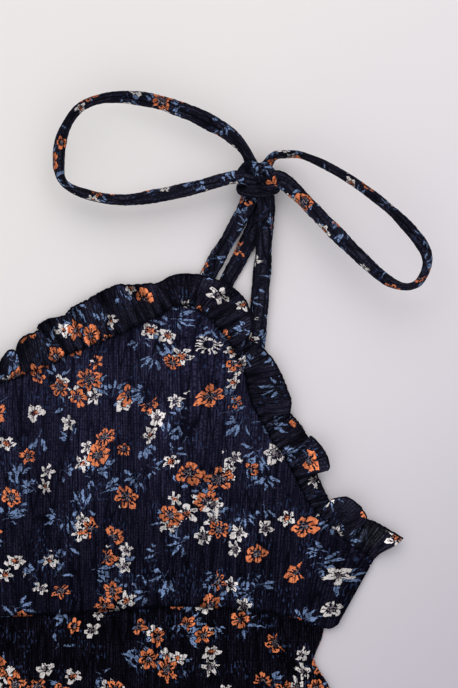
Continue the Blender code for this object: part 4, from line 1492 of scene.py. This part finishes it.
def crinkle_group():
    """Fine upright ribs, uneven in height, crossed by faint threads and pinched in places."""
    w, given, out = new_group(
        "crinkle",
        (("Cloth", "Vector", (0, 0, 0)), ("Rib spacing", "Float", 1.5)),
        (("Height", "Float"), ("Crest", "Float"), ("Pinch", "Float"), ("Crease", "Float")),
    )
    cloth = w.scaled(given["Cloth"], 1.0 / MM)
    x, y, _ = w.split(cloth)
    sway = w.stretched_noise(cloth, 0.13, 0.03)
    phase = w.math("MULTIPLY_ADD", sway, 1.2, w.math("DIVIDE", x, given["Rib spacing"]))
    wave = w.ripple(w.math("MULTIPLY", phase, 2.0 * math.pi))
    beat = w.math("MULTIPLY_ADD", w.stretched_noise(cloth, 0.55, 0.22), 1.6,
                  w.math("MULTIPLY", phase, 0.37))
    beat = w.ripple(w.math("MULTIPLY", beat, 2.0 * math.pi))
    strength = w.math("MAXIMUM", w.span(w.stretched_noise(cloth, 0.30, 0.07), -0.35, 1.85), 0.16)
    nubs = w.math("MAXIMUM", w.span(w.stretched_noise(cloth, 0.80, 0.85), -0.55, 2.4), 0.0)
    ladder = w.ripple(w.math("MULTIPLY", y, 3.6))
    threads = w.math("MULTIPLY", ladder, w.math("SUBTRACT", 1.0, wave))
    crest = w.all_of(wave, strength, nubs, w.span(beat, 0.30, 1.35))
    # Long thin creases run where either of two stretched noises passes its middle.
    fine = w.stretched_noise(cloth, 0.21, 0.020)
    wide = w.stretched_noise(w.vector("ADD", cloth, (71.0, 33.0, 0.0)), 0.12, 0.012)
    lines = []
    for bend, steep in ((fine, 22.0), (wide, 30.0)):
        from_middle = w.math("ABSOLUTE", w.math("SUBTRACT", bend, 0.5))
        lines.append(w.math("MULTIPLY", from_middle, steep, clamp=True))
    open_cloth = w.span(w.all_of(*lines), 0.12, 1.0)
    crest = w.math("MULTIPLY", crest, open_cloth)
    # The crest also sets the ground's tone: paler on the rib crests as painted light, darker
    # between them as painted shade, with the faint cross threads a little paler.
    w.feed(out["Crest"], w.math("MINIMUM", w.math("MULTIPLY_ADD", threads, 0.14, crest), 1.0))
    w.feed(out["Height"], w.math("ADD", w.math("MULTIPLY_ADD", threads, 0.25, crest), open_cloth))
    # The creases sink in the bump, and the materials also paint them darker as painted shade.
    w.feed(out["Crease"], w.outside(open_cloth))
    w.feed(out["Pinch"], w.all_of(w.within(wave, 0.10), w.beyond(strength, 0.85)))


def new_material(name, specular):
    """Start a matte material, and give its wiring and the sockets of its shader."""
    material = bpy.data.materials.new(name)
    material.use_nodes = True
    sockets = material.node_tree.nodes["Principled BSDF"].inputs
    sockets["Specular IOR Level"].default_value = specular
    return material, Wiring(material.node_tree), sockets


def add_bump(w, sockets, height, deep):
    """Raise a material's surface by a height mask, up to a depth in millimetres."""
    bump = w.node("ShaderNodeBump")
    bump.inputs["Strength"].default_value = BUMP_STRENGTH
    bump.inputs["Distance"].default_value = deep * MM
    w.feed(bump.inputs["Height"], height)
    w.feed(sockets["Normal"], bump.outputs[0])


def printed_cloth(name, ground, ribs=RIB_SPACING, ink_share=1.0, painted_shading=(1.0, 1.0)):
    """Printed, crinkled cloth: flowers over a ground painted paler on its rib crests and darker
    between them, with painted shade in its hollows, creases and rib valleys and painted light on
    its rises.
    """
    material, w, sockets = new_material(name, 0.02)
    places = w.node("ShaderNodeUVMap", uv_map="cloth").outputs[0]
    crinkle = use_group(w, "crinkle", cloth=places, rib_spacing=ribs)
    # The ground is painted paler on the rib crests and darker between them: painted light and
    # painted shade on the ribs.
    plain = w.scaled(w.paint(crinkle["Crest"], *ground),
                     # On the bodice the ground is also scaled from darker at the waist to paler
                     # towards the neck: painted shade and painted light.
                     w.smooth_range(w.split(places)[1], *PAINTED_SHADING_REACH, *painted_shading))
    printed = use_group(w, "small flower print", cloth=places, ground=plain)
    # In the pinched rib valleys, and a little in every valley, the ink gives way to the dark
    # ground: painted shade. On the wrong side ink_share keeps the print faint.
    kept = w.math("MULTIPLY_ADD", crinkle["Pinch"], -0.42, 1.0)
    share = w.all_of(printed["Ink"], kept, w.span(crinkle["Crest"], 0.90, 1.0))
    wear_and_rib_shade = w.paint(w.math("MULTIPLY", share, ink_share), plain, printed["Color"])
    # The relief darkens the colour in the hollows of folds, gathers and seams as painted shade, and
    # lightens it on their rises as painted light.
    relief = w.node("ShaderNodeAttribute", attribute_name="relief").outputs["Fac"]
    shade = w.math("MAXIMUM", w.math("MULTIPLY_ADD", relief, 0.62, 0.98), 0.25)
    # Along the crinkle's long creases the colour is darkened: painted shade.
    shade = w.math("MULTIPLY", shade, w.math("MULTIPLY_ADD", crinkle["Crease"], -0.60, 1.0))
    w.feed(sockets["Base Color"], w.scaled(wear_and_rib_shade, shade))
    w.feed(sockets["Roughness"], w.span(crinkle["Crest"], 0.95, 0.82))
    add_bump(w, sockets, crinkle["Height"], 0.35)
    return material


def rolled_thread(name):
    """The frill's rolled edge: dark cloth wrapped in close stitches."""
    material, w, sockets = new_material(name, 0.04)
    places = w.scaled(w.node("ShaderNodeUVMap", uv_map="cloth").outputs[0], 1.0 / MM)
    x, y, _ = w.split(places)
    slant = w.math("MULTIPLY_ADD", x, 0.35, y)
    wraps = w.ripple(w.math("MULTIPLY", slant, 8.2))
    fuzz = w.noise(places, 1.1, detail=2.0)
    shade = w.math("MULTIPLY", wraps, w.span(fuzz, 0.3, 1.2))
    w.feed(sockets["Base Color"], w.paint(shade, *THREAD_TONES))
    sockets["Roughness"].default_value = 0.9
    add_bump(w, sockets, w.math("MULTIPLY_ADD", fuzz, 0.6, wraps), 0.3)
    return material


def table_finish():
    """A plain pale table, painted darker towards the hem and +X and paler towards the neck and -X:
    a painted light falloff.
    """
    material, w, sockets = new_material("pale table", 0.2)
    x, y, _ = w.split(w.node("ShaderNodeTexCoord").outputs["Object"])
    # The tone runs along this slope as a painted light falloff, darker towards the hem and +X.
    slope = w.math("SUBTRACT", w.math("MULTIPLY", y, 0.75), w.math("MULTIPLY", x, 0.66))
    near, middle, far = TABLE_PAINTED_FALLOFF_TONES
    tone = w.paint(w.smooth_range(slope, -0.25, 0.0), near, middle)
    tone = w.paint(w.math("MULTIPLY", slope, 6.5, clamp=True), tone, far)
    w.feed(sockets["Base Color"], tone)
    sockets["Roughness"].default_value = 0.75
    return material


def make_table():
    """The surface that the dress lies on."""
    bpy.ops.object.select_all(action="DESELECT")
    bpy.ops.mesh.primitive_plane_add(size=2.0 * TABLE_REACH, location=(0.0, 0.0, TABLE_LEVEL))
    bpy.ops.object.transform_apply(location=True, rotation=False, scale=False)
    table = bpy.context.object
    table.name = "table"
    table.data.materials.append(table_finish())


def make_light():
    """A large soft window beyond the neck, and pale light from all round."""
    world = bpy.data.worlds.new("room")
    bpy.context.scene.world = world
    world.use_nodes = True
    back = world.node_tree.nodes["Background"]
    back.inputs["Color"].default_value = ROOM_COLOUR
    back.inputs["Strength"].default_value = ROOM_STRENGTH
    lamp = bpy.data.lights.new("window", "AREA")
    lamp.shape = "RECTANGLE"
    lamp.size, lamp.size_y = WINDOW_SIZE
    lamp.energy = WINDOW_ENERGY
    lamp.color = WINDOW_COLOUR
    window = bpy.data.objects.new("window", lamp)
    bpy.context.collection.objects.link(window)
    window.location = WINDOW_PLACE
    aim = Vector(WINDOW_AIM) - window.location
    window.rotation_euler = aim.to_track_quat("-Z", "Y").to_euler()


def make_camera():
    """A long lens straight above the part that the photo frames."""
    data = bpy.data.cameras.new("camera")
    camera = bpy.data.objects.new("camera", data)
    bpy.context.collection.objects.link(camera)
    tall = PHOTO_HEIGHT * PHOTO_SCALE * MM
    data.sensor_fit = "VERTICAL"
    data.sensor_height = 24.0
    data.lens = data.sensor_height * CAMERA_HEIGHT / tall
    data.clip_start = 0.1
    data.clip_end = 50.0
    across = (PHOTO_WIDTH / 2 - ORIGIN_PIXEL[0]) * PHOTO_SCALE * MM
    up = (ORIGIN_PIXEL[1] - PHOTO_HEIGHT / 2) * PHOTO_SCALE * MM
    camera.location = (across, up, CAMERA_HEIGHT)
    bpy.context.scene.camera = camera


motif_places_group()
flower_group()
ray_flower_group()
leaf_fan_group()
flower_print_group()
crinkle_group()

bodice_face = printed_cloth("bodice cloth", BODICE_GROUND, painted_shading=BODICE_PAINTED_SHADING)
skirt_face = printed_cloth("skirt cloth", SKIRT_GROUND)
frill_face = printed_cloth("frill cloth", FRILL_GROUND)
strap_face = printed_cloth("strap cloth", STRAP_GROUND, ribs=1.6 * RIB_SPACING)
cloth_back = printed_cloth("cloth wrong side", WRONG_SIDE_GROUND, ink_share=0.18)
rolled = rolled_thread("rolled edge")

build_front_bodice((bodice_face, cloth_back))
build_front_skirt((skirt_face, cloth_back))
build_back_bodice((bodice_face, cloth_back))
build_back_skirt((skirt_face, cloth_back))
build_back_frill((frill_face, cloth_back), rolled)
for side_index, (side_name, side_sign) in enumerate((("left", 1.0), ("right", -1.0))):
    build_frill("frill_cloth_" + side_name, "frill_" + side_name, side_sign, 1.0 + side_index,
                FRILL_CUTS[side_name], (frill_face, cloth_back), rolled)
    build_ties(side_name, side_sign, 1.0 + 20.0 * side_index, strap_face)
make_table()
make_light()
make_camera()
bpy.context.scene.view_settings.view_transform = "Standard"
